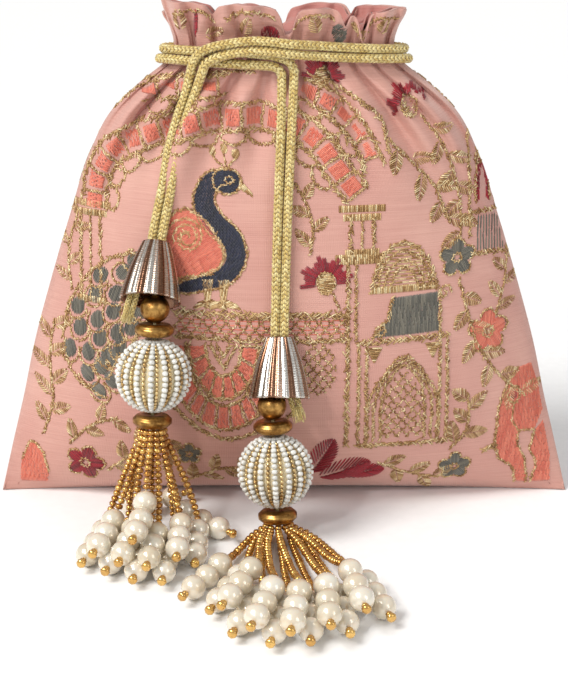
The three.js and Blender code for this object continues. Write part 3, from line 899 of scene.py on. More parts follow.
KNIT_COLUMNS = 8
KNIT_PITCH = 0.00155
KNIT_STITCH = (0.00225, 0.00118)  # length and width
KNIT_LEAN = 0.52


def knitted_cord(name, points, girth=1.0):
    """A knitted cord along a route: a core, and eight columns of stitches that make its Vs.
    Gives the piece and the line that it follows."""
    line = smooth_path(points, 0.0012)
    radius = CORD_DIAMETER / 2 * girth
    core = tube(f"{name}_core", line, radius * 0.80, 10, CORD_YARN)
    # Painted shade: the core, seen between the stitches, takes the dark end of the yarn's ramp.
    shade(core, 0.05)
    fine = even_points(line, KNIT_PITCH)
    ahead, right, up = frames(fine)
    places = []
    for i in range(len(fine)):
        for column in range(KNIT_COLUMNS):
            lean = 1 if column % 2 else -1
            turn = TAU * (column + 0.5) / KNIT_COLUMNS
            out = round_axis(turn, right[i], up[i])
            across = np.cross(out, ahead[i])
            along = unit(ahead[i] + lean * KNIT_LEAN * across)
            at = fine[i] + out * radius * 0.62 + ahead[i] * (0.00008 * lean)
            size = (KNIT_STITCH[0], KNIT_STITCH[1] * girth, radius * 0.48)
            places.append((at, along, out, size, random_draw.uniform(0.35, 1.0)))
    wales = lay(name, STITCH, places, CORD_YARN)
    return join_pieces(name, [wales, core]), line


def held_cords():
    for name, route in (("drawcord_a", DRAWCORD_A), ("drawcord_b", DRAWCORD_B)):
        cord, line = knitted_cord(f"{name}_knit", route)
        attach(cord, "bag")
        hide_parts(name)
        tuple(route[0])
        path_length(line)
        [tuple(p) for p in even_points(line, 0.002)]


def hanging_cords(side, layout):
    for i, route in enumerate(layout["tails"], 1):
        cord, line = knitted_cord(f"{side}_tail_{i}_knit", route)
        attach(cord, f"tassel_{side}")
        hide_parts(f"{side}_tail_{i}")
        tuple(route[0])
        path_length(line)
        [tuple(p) for p in even_points(line, 0.002)]


# ---------------------------------------------------------------- tassels

def foil_cap(side, layout):
    """The cap: a cone of foil ribs, ridged across, with a turned-in lip at each end."""
    foot = np.array(layout["cap_base"])
    sideways, forward, up = axis_frame(np.array(layout["cap_top"]) - foot)
    per_rib, rows, inner_rows = 6, 58, 6
    height = CONE["height"]
    share = np.linspace(0, 1, rows)
    outline = np.interp(share, [0, 0.55, 1], [CONE["base"], CONE["middle"], CONE["top"]])
    outline = outline + 0.0005 * np.sin(share * math.pi)
    tones = random_draw.uniform(0.55, 1.0, CAP_RIBS)
    tones[::3] = random_draw.uniform(0.0, 0.4, len(tones[::3]))
    widen = random_draw.uniform(-0.25, 0.25, CAP_RIBS)
    points, tone = [], []
    for i in range(CAP_RIBS * per_rib):
        rib, step = divmod(i, per_rib)
        a = -TAU * (rib + step / per_rib) / CAP_RIBS
        crest = abs(math.sin(math.pi * (step + 0.5) / per_rib)) ** 0.55
        out = round_axis(a, sideways, forward)
        ridges = 0.00010 * np.sin(share * height / CAP_RIDGE * TAU)
        hem = 0.0004 * (widen[rib] - 0.2) * (1 - share) ** 6
        radius = outline + 0.00075 * crest - 0.0006 + ridges * crest
        radius[0] -= 0.0004
        radius[-1] -= 0.0004
        for r, s, lip in zip(radius, share, hem):
            points.append(foot + out * r + up * (s * height + lip))
            # Painted shade: each rib's tone is darker away from its crest and in the grooves between the
            # cross ridges.
            ridge_shade = 0.84 + 0.16 * math.sin(s * height / CAP_RIDGE * TAU)
            tone.append(tones[rib] * (0.75 + 0.25 * crest) * ridge_shade)
        down = np.linspace(1, 0, inner_rows)
        inside = np.interp(down, share, outline) - 0.0014
        for r, s in zip(inside, down):
            points.append(foot + out * r + up * (s * (height - 0.0002) + 0.0001))
            # Painted shade: the inside of the turned-in lip takes a dark tone.
            tone.append(0.1)
    columns, count = CAP_RIBS * per_rib, rows + inner_rows
    faces = grid_faces(columns, count, wrap=True) + closing_faces(columns, count)
    cap = add_piece(f"{side}_foil_cap", points, faces, FOIL)
    store(cap, "shade", tone)
    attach(cap, f"tassel_{side}")
    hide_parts(f"{side}_cone_cap")
    return cap


def cord_ends(side, layout):
    """The cut ends of the cord below the cap: two short knitted stubs that fray out."""
    top, foot = np.array(layout["ends_top"]), np.array(layout["ends_foot"])
    down = foot - top
    sideways, forward, _ = axis_frame(down)
    pieces = []
    for k, shift in enumerate((-0.0009, 0.0009)):
        stub = [
            top + down * drop + sideways * shift * spread
            for drop, spread in ((0, 1), (0.4, 1.2), (0.72, 1))
        ]
        knit, _ = knitted_cord(f"{side}_stub_{k}", stub, girth=0.62)
        pieces.append(knit)
    for _ in range(46):
        a, r = random_draw.uniform(0, TAU), 0.0015 * math.sqrt(random_draw.uniform(0, 1))
        out = round_axis(a, sideways, forward)
        start = top + down * 0.5 + out * r
        flare = random_draw.uniform(0.2, 1.0)
        bend = random_draw.normal(0, 0.0003, 3)
        end = top + down * random_draw.uniform(0.9, 1.0) + out * (r + 0.0006 * flare) + bend
        path = smooth_path([start, mix(start, end, 0.5) + bend, end], 0.0018)
        fibre = tube(f"{side}_fray", path, 0.00013, 4, CORD_YARN)
        shade(fibre, random_draw.uniform(0.3, 1.0))
        pieces.append(fibre)
    ends = join_pieces(f"{side}_cord_ends", pieces)
    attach(ends, f"tassel_{side}")
    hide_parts(f"{side}_cord_tuft")
    return ends


def metal_beads(side, layout):
    """The round gold bead over the ball, and the ridged disc above and below it."""
    centre, up = np.array(layout["ball"]), unit(layout["axis"])
    disc_at = BALL_RADIUS + TOUCH + DISC_HALF
    steepest = 1.36
    bead_profile = [(BORE, -BEAD_HALF)]
    for a in np.linspace(-steepest, steepest, 19):
        level = BEAD_HALF * math.sin(a) / math.sin(steepest)
        bead_profile.append((0.005 * math.cos(a) + 0.00002, level))
    bead_profile.append((BORE, BEAD_HALF))
    bead_at = disc_at + DISC_HALF + TOUCH + BEAD_HALF
    upper = [
        (0.0067, 0.0008), (0.0063, 0.0010), (0.0062, 0.0013), (0.0054, 0.0020),
        (0.0036, 0.0022), (BORE, 0.0019),
    ]
    disc_profile = [(r, -h) for r, h in reversed(upper)] + [(0.00675, 0.0)] + upper
    for name, profile, at, stands_for in (
        ("round_bead", bead_profile, bead_at, "gold_bead"),
        ("top_disc", disc_profile, disc_at, "upper_disc"),
        ("foot_disc", disc_profile, -disc_at, "lower_disc"),
    ):
        bead = turned(f"{side}_{name}", profile, 40, centre + up * at, up, ANTIQUE_GOLD)
        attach(bead, f"tassel_{side}")
        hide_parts(f"{side}_{stands_for}")


def ball(side, layout):
    """The ball: a pale core, rows of white seeds from pole to pole, and fine gold rows
    between them."""
    centre = np.array(layout["ball"])
    sideways, forward, up = axis_frame(layout["axis"])
    half_round = [(0, -BALL_CORE), *arc(BALL_CORE, math.pi, 0, 22)[1:-1], (0, BALL_CORE)]
    core = turned(f"{side}_ball_body", half_round, 40, centre, up, CORE_RESIN)
    shade(core, 0.6)
    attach(core, f"tassel_{side}")
    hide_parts(f"{side}_ball_core")
    for name, finish, width, level, turn_by, ends_at, pitch in (
        ("white_rows", WHITE_SEEDS, 0.00225, 0.01222, 0.0, 0.24, 0.00172),
        ("gold_rows", PALE_GOLD_SEEDS, 0.00150, 0.01185, 0.5, 0.42, 0.00150),
    ):
        places = []
        for row in range(BALL_ROWS):
            a = TAU * (row + turn_by) / BALL_ROWS + random_draw.normal(0, 0.012)
            count = int((math.pi - 2 * ends_at) * level / pitch)
            for polar in np.linspace(ends_at, math.pi - ends_at, count):
                flat = round_axis(a, sideways, forward)
                out = math.sin(polar) * flat + math.cos(polar) * up
                along = math.cos(polar) * flat - math.sin(polar) * up
                squeeze = min(1.0, 0.55 + 0.6 * math.sin(polar))
                girth = width * squeeze * random_draw.uniform(0.94, 1.04)
                size = (pitch * 0.98, girth, girth)
                places.append((centre + out * level, along, out, size, random_draw.uniform(0, 1)))
        beads = lay(f"{side}_{name}", SEED, places, finish)
        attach(beads, f"tassel_{side}")
        if name == "white_rows":
            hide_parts(f"{side}_ball_beading")


# Short strands that fill each bunch between the ones that the CAD has, in the same form.
FILLER_STRANDS = {
    "left": [
        (135, 2, [(-53.5, -55, 22)], (-58, -60, 11.2), (-62.5, -84.5, 10)),
        (40, 2, [(-38.5, -55, 22)], (-35.2, -61, 11.2), (-35, -87, 10)),
        (90, 2, [(-46.2, -60, 27)], (-47, -66, 17.8), (-49, -88, 16.6)),
    ],
    "right": [
        (180, 1, [(-11, -57, 3.2), (-16.5, -68, 2)], (-20.5, -80, 4.2), (-32, -103, 4.1)),
        (0, 1, [(9.5, -57, 3.2), (18.5, -72, 2)], (25.5, -90, 4.2), (33, -117, 4.1)),
        (145, 1, [(-8, -65, 6), (-8.5, -84, 7)], (-10.5, -98, 11.2), (-19, -121, 10.2)),
        (35, 1, [(7.5, -64, 6), (15, -82, 7)], (20.5, -97, 11.2), (25, -123.5, 10.4)),
    ],
}


def strand_line(layout, strand):
    """The line of one strand, from under the lower disc to the tip of its stop bead."""
    drop, passes, first, last = metres(strand[1:])
    sideways, forward, up = axis_frame(layout["axis"])
    foot = BALL_RADIUS + 2 * DISC_HALF + 2 * TOUCH
    start = np.array(layout["ball"]) - up * foot
    start = start + STRAND_RING * round_axis(math.radians(strand[0]), sideways, forward)
    first, last = np.array(first), np.array(last)
    settled = mix(first, last, 0.3)
    settled[2] = last[2]
    tip = last + unit(last - settled) * STOP_LENGTH / 2
    return smooth_path([start, start - up * drop, *passes, first, settled, tip], 0.001)


def strands(side, layout):
    """Ropes of gold seeds, three pearls on each and a faceted stop bead, all on a thread."""
    ropes, pearls, stops, threads = [], [], [], []
    for number, strand in enumerate([*layout["strands"], *FILLER_STRANDS[side]]):
        line = strand_line(layout, strand)
        length = path_length(line)
        rope = length - PEARLS_EACH * PEARL_PITCH - STOP_LENGTH
        count = int(rope / SEED_PITCH)
        at, ahead = points_at(line, (np.arange(count) + 0.5) * rope / count)
        for point, along in zip(at, ahead):
            girth = 0.0028 * random_draw.uniform(0.9, 1.08)
            outward = unit(np.cross(along, random_draw.normal(0, 1, 3)))
            tilt = unit(along + random_draw.normal(0, 0.07, 3))
            size = (SEED_PITCH * 0.97, girth, girth)
            ropes.append((point, tilt, outward, size, random_draw.uniform(0, 1)))
        at, ahead = points_at(line, rope + (np.arange(PEARLS_EACH) + 0.5) * PEARL_PITCH)
        for point, along in zip(at, ahead):
            across = 0.0082 * random_draw.uniform(0.96, 1.03)
            outward = unit(np.cross(along, random_draw.normal(0, 1, 3)))
            size = (across * 0.99, across, across)
            pearls.append((point, along, outward, size, random_draw.uniform(0, 1)))
        at, ahead = points_at(line, length - STOP_LENGTH + np.array([0.0010, 0.0029]))
        for point, along, girth in zip(at, ahead, (0.0026, 0.0034)):
            outward = unit(np.cross(along, (0.2, 0.1, 1.0)))
            size = (0.0019, girth, girth)
            stops.append((point, along, outward, size, random_draw.uniform(0.5, 1)))
        path = even_points(line[:-3], 0.004)
        threads.append(tube(f"{side}_thread_{number}", path, 0.00035, 6, CORE_THREAD))
    for name, small, places, finish, kind in (
        ("seed_ropes", SEED, ropes, GOLD_SEEDS, "seed_beads"),
        ("strand_pearls", PEARL, pearls, PEARL_WHITE, "pearls"),
        ("stop_beads", SEED, stops, GOLD_SEEDS, "seed_beads"),
    ):
        piece = lay(f"{side}_{name}", small, places, finish)
        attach(piece, f"tassel_{side}")
        if name == "strand_pearls":
            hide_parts(*[f"{side}_strand_{i + 1}" for i in range(len(layout["strands"]))])
    thread = join_pieces(f"{side}_strand_threads", threads)
    shade(thread, 0.5)
    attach(thread, f"tassel_{side}")


held_cords()
for side_name, tassel_layout in TASSELS.items():
    cap_piece = foil_cap(side_name, tassel_layout)
    ends_piece = cord_ends(side_name, tassel_layout)
    hanging_cords(side_name, tassel_layout)
    metal_beads(side_name, tassel_layout)
    ball(side_name, tassel_layout)
    strands(side_name, tassel_layout)
    thread_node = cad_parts[f"{side_name}_core_thread"]
    thread_node.data.materials.clear()
    thread_node.data.materials.append(CORE_THREAD)


# ---------------------------------------------------------------- embroidery

# Patterns are drawn flat, in millimetres: x to the right and z up, as the front is seen.
# They lie on the cloth's outer face; on the back the same drawing is seen from behind.

SHORTEST_STITCH = 0.35
STITCH_OVERLAP = 1.16  # filling stitches run on under their neighbours
LINE_WEIGHT = 1.25  # every drawn line is worked this much heavier than it is drawn
LEAF_SLANT = 52  # degrees, of the stitches on a leaf and of the leaves on a stem


def heading(angle):
    """The directions along and across an angle in degrees."""
    turn = math.radians(angle)
    along = np.array([math.cos(turn), math.sin(turn)])
    return along, np.array([-along[1], along[0]])


def beside(line):
    """The directions ahead and to the left at each point of a drawn line."""
    ahead = unit(np.gradient(line, axis=0))
    return ahead, np.stack([-ahead[:, 1], ahead[:, 0]], 1)


def degrees_of(direction):
    """The angle of a drawn direction."""
    return math.degrees(math.atan2(direction[1], direction[0]))


def hatching(outline, angle, pitch, shortest):
    """The parallel lines that fill an outline: the number and level of each, and where it
    starts and ends along the angle."""
    along, across = heading(angle)
    shape = np.asarray(outline, float)
    run, rank = shape @ along, shape @ across
    for number, level in enumerate(np.arange(rank.min() + pitch / 2, rank.max(), pitch)):
        crossings = []
        for i in range(len(shape)):
            j = (i + 1) % len(shape)
            if (rank[i] > level) != (rank[j] > level):
                share = (level - rank[i]) / (rank[j] - rank[i])
                crossings.append(mix(run[i], run[j], share))
        crossings.sort()
        for start, end in zip(crossings[::2], crossings[1::2]):
            if end - start > shortest:
                yield number, level, start, end


class Embroidery:
    """Gathers the stitches of one face of the pouch, one list for each floss."""

    def __init__(self, side):
        self.side = side
        self.coarse = 1.0 if side < 0 else 1.5
        self.stitches = {}

    def sew(self, floss, x, z, angle, length, width, rise, shade):
        self.stitches.setdefault(floss, []).append((x, z, angle, length, width, rise, shade))

    def fill(self, floss, outline, angle, pitch=0.5, length=3.4, width=0.72, rise=0.34):
        """Satin stitches side by side across an outline, at an angle in degrees. Each line is
        split into stitches that are staggered like bricks."""
        pitch, width = pitch * self.coarse, width * self.coarse
        turn = math.radians(angle)
        along, across = heading(angle)
        for number, level, start, end in hatching(outline, angle, pitch, SHORTEST_STITCH):
            parts = max(1, int(math.ceil((end - start) / length)))
            cuts = np.linspace(start, end, parts + 1)
            if parts > 1:
                cuts[1:-1] += (number % 3 - 1) * length * 0.22
            for a, b in zip(cuts[:-1], cuts[1:]):
                x, z = along * (a + b) / 2 + across * level
                shade = random_draw.uniform(0, 1)
                lean = random_draw.normal(0, 0.03)
                long = (b - a) * STITCH_OVERLAP + 0.1
                self.sew(floss, x, z, turn + lean, long, width, rise, shade)

    def line(self, path, width=1.5, closed=False, step=0.52):
        """A line of gold worked in short slanting stitches, heavier than the fillings beside it."""
        path = np.asarray(path, float)
        width = width * LINE_WEIGHT
        if closed:
            path = np.vstack([path, path[:1]])
        points = even_points(path, step * self.coarse)
        ahead = unit(np.gradient(points, axis=0))
        for i, ((x, z), (ax, az)) in enumerate(zip(points, ahead)):
            slant = math.atan2(az, ax) + (0.62 if i % 2 else -0.62) + random_draw.normal(0, 0.22)
            off = random_draw.normal(0, 0.16) * width
            shade = random_draw.uniform(0, 1) ** 1.2
            long = width * random_draw.uniform(1.0, 1.5)
            thick = 0.66 * self.coarse
            self.sew("zari", x - az * off, z + ax * off, slant, long, thick, 0.55, shade)

    def piece(self, name, finishes):
        """Lays every stitch on the cloth and gives one object for each floss."""
        made = []
        for floss, rows in self.stitches.items():
            x, z, angle, length, width, rise, shade = np.array(rows, float).T
            centre, right, up, outward = cloth_frame(self.side, x, z)
            along = np.cos(angle)[:, None] * right + np.sin(angle)[:, None] * up
            places = [
                (centre[i], along[i], outward[i],
                 (length[i] * MM, width[i] * MM, rise[i] * MM), min(1, max(0, shade[i])))
                for i in range(len(rows))
                if np.isfinite(centre[i]).all()
            ]
            made.append(lay(f"{name}_{floss}", STITCH, places, finishes[floss]))
        return made


def cloth_frame(side, x, z):
    """Points of the cloth at drawn places, and the directions there."""
    z = np.minimum(z, CLOTH_TOP - 0.8)

    def on_cloth(x, z):
        half = station(z, 1)
        across = np.arcsin(np.clip(x / half, -0.995, 0.995)) / (math.pi / 2)
        return cloth_point(side, across, z)

    seen = x if side < 0 else -x
    reach = 0.4
    centre = on_cloth(seen, z)
    right = unit(on_cloth(seen + reach, z) - on_cloth(seen - reach, z))
    if side > 0:
        right = -right
    up = on_cloth(seen, np.minimum(z + reach, CLOTH_TOP)) - on_cloth(seen, np.maximum(z - reach, 1))
    up = unit(up)
    outward = unit(np.cross(right, up))
    return centre - outward * 0.04 * MM, right, up, outward


def curve(*points, step=0.8):
    """An even curve through drawn points."""
    flat = np.array([(x, 0, z) for x, z in points], float)
    return smooth_path(flat, step)[:, [0, 2]]


def ellipse(x, z, wide, high, start=0.0, end=360.0, turn=0.0, count=28):
    """An ellipse, or the part of it between two angles, turned as a whole."""
    a = np.radians(np.linspace(start, end, count, endpoint=end - start < 360))
    px, pz = wide * np.cos(a), high * np.sin(a)
    t = math.radians(turn)
    across = x + px * math.cos(t) - pz * math.sin(t)
    return np.stack([across, z + px * math.sin(t) + pz * math.cos(t)], 1)


def spiral(x, z, size, turns, start, flip=1):
    """A scroll that winds in from its outer end."""
    t = np.linspace(0, 1, int(26 * turns))
    a = math.radians(start) + flip * TAU * turns * t
    r = size * (1 - 0.86 * t)
    return np.stack([x + r * np.cos(a), z + r * np.sin(a)], 1)


def leaf(cloth, x, z, angle, length, width):
    """A leaf from its stalk end: slanting stitches on each side of a bare midrib."""
    along, across = heading(angle)
    t = np.linspace(0, 1, 9)
    length, width = length * 1.18, width * 1.25
    swell = np.sin(math.pi * t**0.8) * width / 2
    base = np.array([x, z])
    for half in (-1, 1):
        edge = [base + along * s * length + across * half * (w + 0.12) for s, w in zip(t, swell)]
        rib = [base + along * s * length + across * half * 0.14 for s in t[::-1]]
        cloth.fill("zari", edge + rib, angle + half * LEAF_SLANT, pitch=0.66, width=0.62, rise=0.42)


def sprig(cloth, path, leaves, length=8.0, width=3.4, first=1):
    """A stem with leaves to either side in turn."""
    line = curve(*path)
    cloth.line(line, width=1.1)
    ahead, _ = beside(line)
    for i, share in enumerate(np.linspace(0.12, 0.96, leaves)):
        at = int(share * (len(line) - 1))
        side = first if i % 2 == 0 else -first
        angle = degrees_of(ahead[at]) + side * LEAF_SLANT
        leaf(cloth, *line[at], angle, length * random_draw.uniform(0.85, 1.1), width)


def flower(cloth, x, z, size, petals, floss, heart=1.5, start=90.0):
    """An open flower: rounded petals stitched from the heart outwards."""
    for k in range(petals):
        a = start + 360 * k / petals
        t = math.radians(a)
        centre = (x + size * 0.56 * math.cos(t), z + size * 0.56 * math.sin(t))
        cloth.fill(floss, ellipse(*centre, size * 0.44, size * 0.36, turn=a), a, length=size)
        cloth.line(ellipse(*centre, size * 0.45, size * 0.38, -75, 75, turn=a), width=0.8)
    cloth.line(ellipse(x, z, heart, heart), width=1.0, closed=True, step=0.6)


def fan_flower(cloth, x, z, size, angle):
    """A flower seen from its side: a fan of loose crimson petals over a gold cup."""
    for k in range(17):
        a = angle + (k - 8) * 11.5
        t = math.radians(a)
        tall = size * (1.0 + 0.16 * math.sin(k * 1.6))
        start = size * 0.38
        x0, z0 = x + start * math.cos(t), z + start * math.sin(t)
        x1, z1 = x + tall * math.cos(t), z + tall * math.sin(t)
        for shift in (-0.5, 0.0, 0.5):
            sx, sz = -shift * math.sin(t), shift * math.cos(t)
            shade = random_draw.uniform(0.2, 1)
            cloth.sew(
                "crimson", (x0 + x1) / 2 + sx, (z0 + z1) / 2 + sz, t, tall - start, 0.62, 0.5, shade
            )
    cup = ellipse(x, z, size * 0.42, size * 0.34, 0, 360, turn=angle)
    cloth.fill("zari", cup, angle + 90, pitch=0.6)
    cloth.line(cup, width=0.9, closed=True)


def lattice(cloth, outline, pitch):
    """Crossed slanting lines inside an outline."""
    for angle in (48, -48):
        along, across = heading(angle)
        for _, level, start, end in hatching(outline, angle, pitch, 1):
            cloth.line([along * s + across * level for s in (start, end)], width=0.8, step=1.0)


def box_outline(left, foot, right, top):
    return np.array([(left, foot), (right, foot), (right, top), (left, top)], float)


def pillar(cloth, x, foot, top, width=6.0):
    """Two uprights with a filled band between, a base and a moulded head."""
    for shift in (-width / 2, width / 2):
        cloth.line([(x + shift, foot), (x + shift, top)], width=1.4)
    cloth.line([(x, foot), (x, top)], width=0.9)
    for level, wide in ((top, width + 5), (top + 3, width + 8), (foot, width + 4)):
        band = box_outline(x - wide / 2, level - 1.2, x + wide / 2, level + 1.2)
        cloth.fill("zari", band, 90, pitch=0.6)


def banded_arch(cloth, centre, width):
    """A cusped arch: gold lines either side of a band of coral blocks, and cusps below it."""
    line = curve(*centre)
    ahead, out = beside(line)
    cloth.line(line + out * width / 2, width=1.7)
    cloth.line(line - out * width / 2, width=1.7)
    step = 7
    for i in range(0, len(line) - step, step + 2):
        j = i + step
        edge = [line[k] + out[k] * width * 0.34 for k in range(i, j)]
        edge += [line[k] - out[k] * width * 0.30 for k in range(j - 1, i - 1, -1)]
        cloth.fill("coral", edge, degrees_of(out[i]), length=4.5)
        cloth.line([line[j] + out[j] * width * 0.42, line[j] - out[j] * width * 0.42], width=1.1)
    for i in range(6, len(line) - 6, 13):
        foot = line[i] - out[i] * (width / 2 + 1.4)
        cloth.line(ellipse(*foot, 4.6, 3.0, 180, 360, turn=degrees_of(ahead[i])), width=1.1)


def scallop_medallion(cloth, x, z, wide, deep):
    """Half a hanging medallion: nested scalloped bands of coral with gold between."""
    for share, pad in ((1.0, 0.33), (0.62, 0.30)):
        outer = ellipse(x, z, wide * share, deep * share, 180, 360, count=64)
        inner = ellipse(x, z, wide * (share - pad), deep * (share - pad * 0.9), 180, 360, count=64)
        cloth.line(outer, width=1.5)
        cloth.line(inner, width=1.2)
        petals = 11 if share == 1.0 else 8
        for k in range(petals):
            i, j = int(k * 63 / petals) + 1, int((k + 1) * 63 / petals)
            rounding = 0.9 * unit(outer[i:j] - [x, z]) * np.sin(np.linspace(0, math.pi, j - i))[:, None]
            bulge = outer[i:j] + rounding
            edge = [*(mix(inner[i:j], bulge, 0.96)), *(mix(inner[i:j], outer[i:j], 0.06)[::-1])]
            middle = outer[(i + j) // 2] - [x, z]
            cloth.fill("coral", edge, degrees_of(middle), length=4.2)
            cloth.line([inner[j], outer[j]], width=0.8)
    for share in (0.24, 0.12):
        cloth.line([(x - wide * share, z), (x, z - deep * share * 1.1), (x + wide * share, z)], width=1.3)


def feather_tail(cloth, spine, width, rows):
    """A tail of overlapping feathers: grey-green drops in gold loops, in rows down a spine."""
    line = curve(*spine)
    ahead, out = beside(line)
    for row in range(rows):
        i = int((row + 0.4) / rows * (len(line) - 1))
        taper = math.sin(math.pi * min(0.92, 0.22 + 0.75 * row / rows)) ** 0.6
        span = width * taper
        count = max(2, int(round(span / 7.2)))
        for k in range(count):
            shift = ((k + 0.5) / count - 0.5) * span + (1.6 if row % 2 else -1.6)
            at = line[i] + out[i] * shift
            angle = degrees_of(ahead[i])
            cloth.fill("grey_green", ellipse(*at, 3.4, 2.5, turn=angle), angle + 20, length=7)
            loop = ellipse(*(at + ahead[i] * 0.5), 4.5, 3.5, -105, 105, turn=angle, count=14)
            cloth.line(loop, width=0.9)
    swell = np.sin(math.pi * np.linspace(0.2, 0.95, len(line)))[:, None] ** 0.6
    for edge in (-0.5, 0.5):
        cloth.line(line + out * width * edge * 1.04 * swell, width=1.3)


def peacock(cloth):
    """A traditional peacock in profile: navy neck and breast, coral wing, gold legs, long tail."""
    neck = curve(
        (-19, 122.5), (-25, 120), (-27.5, 113), (-24, 106.5), (-18, 101),
        (-16.5, 95), (-20, 89), (-29, 85.5), (-38, 83),
    )
    _, out = beside(neck)
    run = np.linspace(0, 1, len(neck))[:, None]
    half = 1.6 + 1.9 * np.sin(math.pi * run**0.7)
    half[-6:] *= np.linspace(1, 0.3, 6)[:, None]
    band = np.concatenate([neck + out * half, (neck - out * half)[::-1]])
    cloth.fill("navy", band, 62, pitch=0.5, length=3.4)
    for edge in (1, -1):
        cloth.line(neck + edge * out * (half + 0.5), width=0.9)
    cloth.fill("navy", ellipse(-19.5, 120.5, 4.4, 3.9), 25, pitch=0.5)
    cloth.line(ellipse(-19.5, 120.5, 4.9, 4.4), width=0.9, closed=True)
    cloth.line(ellipse(-18.6, 121.0, 1.4, 1.1), width=0.8, closed=True, step=0.5)
    cloth.fill("zari", [(-15.4, 121.6), (-9.4, 114.6), (-15.6, 118.2)], -48, pitch=0.5)
    for x, z in ((-24.5, 130), (-20.5, 131.5), (-16.5, 130)):
        cloth.line([(-19.8, 124.5), (x, z - 1.6)], width=0.7)
        cloth.fill("zari", ellipse(x, z, 1.3, 1.7), 60, pitch=0.5)
    wing = curve(
        (-39.5, 86), (-43.5, 94), (-42, 104), (-35, 110.5), (-27.8, 107.5),
        (-22.5, 100.5), (-20.8, 94), (-25, 89.2), (-33, 87.6), (-39.5, 86),
    )
    cloth.fill("coral", wing, 38, length=3.4)
    cloth.line(wing, width=1.2)
    for shift in (0.0, 2.6):
        cloth.line(spiral(-33.5, 101, 7.6 - shift, 1.5, 200, -1), width=1.0)
    for x in (-26, -20.5):
        cloth.fill("zari", [(x - 2.2, 87), (x + 1.8, 87.4), (x + 0.5, 80), (x - 1.4, 80)], 80)
        toes = [(-6, 76.6), (-3.4, 79.4), (0, 80.6), (4.2, 79), (6, 76.8), (0, 77.8)]
        cloth.fill("zari", [(x + shift, z) for shift, z in toes], 20)
        cloth.line([(x - 1, 80), (x, 77)], width=1.5)
    feather_tail(cloth, ((-46, 86), (-56, 80), (-65, 68), (-68, 55), (-60, 44)), 25, 9)


def pavilion(cloth):
    """A ribbed dome over a screened window, with an arch of latticework below."""
    dome = curve((30.5, 84), (33.5, 93), (40, 98.5), (47, 96), (52, 88), (53.5, 82))
    cloth.line(dome, width=1.6)
    cloth.fill("zari", dome, 0, pitch=1.15, length=2.6)
    for shrink in (0.8, 0.6, 0.4):
        centre = np.array([42, 84])
        cloth.line(centre + (dome - centre) * [shrink * 1.05, shrink], width=1.0)
    cloth.fill("zari", [(29, 81.5), (54.5, 81.5), (52.5, 84), (31, 84)], 90, pitch=0.6)
    cloth.fill("grey_green", [(31, 66.5), (36, 72), (38, 79.8), (54, 80.5), (54.5, 66.8)], 88, length=6.0)
    cloth.line([(31, 66.5), (36, 72), (38, 80)], width=1.4)
    cloth.line([(54.8, 81), (55, 66)], width=1.3)
    cloth.line([(26, 65), (58, 65)], width=1.8)
    cloth.line(ellipse(33.5, 68.6, 1.8, 1.6), width=0.9, closed=True)
    for x in (26.1, 28.9, 55.1, 57.9):
        cloth.line([(x, 26), (x, 65)], width=1.2)
    for grow in (1.0, 0.82, 0.62):
        wide, narrow = 12.5 * grow, 9 * grow
        arch = curve(
            (42 - wide, 28), (42 - wide, 42), (42 - narrow, 50), (42, 51 + 8 * grow),
            (42 + narrow, 50), (42 + wide, 42), (42 + wide, 28),
        )
        cloth.line(arch, width=1.2)
    lattice(cloth, [(35, 29), (35, 43), (38, 50), (42, 54.5), (46, 50), (49, 43), (49, 29)], pitch=2.7)
    cloth.line([(26, 26), (58, 26)], width=1.8)
    for x in (31.5, 52.5):
        cloth.fill("zari", [(x - 3, 63), (x + 3, 63), (x, 57)], 0, pitch=0.6)


def tower(cloth):
    """A slim tower at the side: a crimson pointed window over a grey-green screen."""
    arch = curve((67.5, 109), (67.5, 120), (70.3, 127), (72.6, 119), (73, 109))
    inner = (arch - [70.3, 116])[::-1] * [0.42, 0.6] + [70.3, 115]
    cloth.fill("crimson", np.concatenate([arch, inner]), 90)
    cloth.line(arch + [0, 0.8], width=1.0)
    cloth.line([(65.5, 98), (64.5, 134)], width=1.2)
    cloth.line([(65, 107), (76, 106)], width=1.6)
    cloth.fill("grey_green", [(68, 93), (79, 92), (76, 104.5), (68.5, 105)], 90, length=7, pitch=1.1)
    cloth.line([(66.5, 92), (80, 91)], width=1.8)


def walking_beast(cloth):
    """A plain rounded animal shape in coral floss at the foot of the side seam."""
    body = [
        (85, 48.5), (81.5, 44), (78.5, 38), (77.3, 30), (76.8, 22), (79, 15.5), (84, 11), (85.5, 4.5),
        (90, 4), (88, 15), (85.5, 20.5), (86, 25), (92, 24.5), (95.5, 31), (93.5, 41), (90.5, 49),
    ]
    leg = [(92, 24), (95.8, 27), (98.5, 14), (98.8, 4), (91.5, 4), (92.8, 12.5), (90.5, 17.5)]
    cloth.fill("coral", body, 82, length=4.2)
    cloth.fill("coral", leg, 82, length=4.2)
    cloth.line(curve(*body[:8]), width=1.1)
    cloth.line(curve(*body[8:13]), width=1.0)
    cloth.line(curve((91.5, 4), (92.8, 12.5), (90.5, 17.5), (92, 24)), width=0.9)
    cloth.line(curve((86, 25), (83, 30), (84, 36)), width=0.9)
    cloth.fill("crimson", ellipse(83.5, 39, 1.3, 1.8), 90)
    cloth.line(ellipse(83.5, 39, 2.4, 2.9), width=1.0, closed=True)
    cloth.line([(76.8, 21), (72.5, 20)], width=2.4)


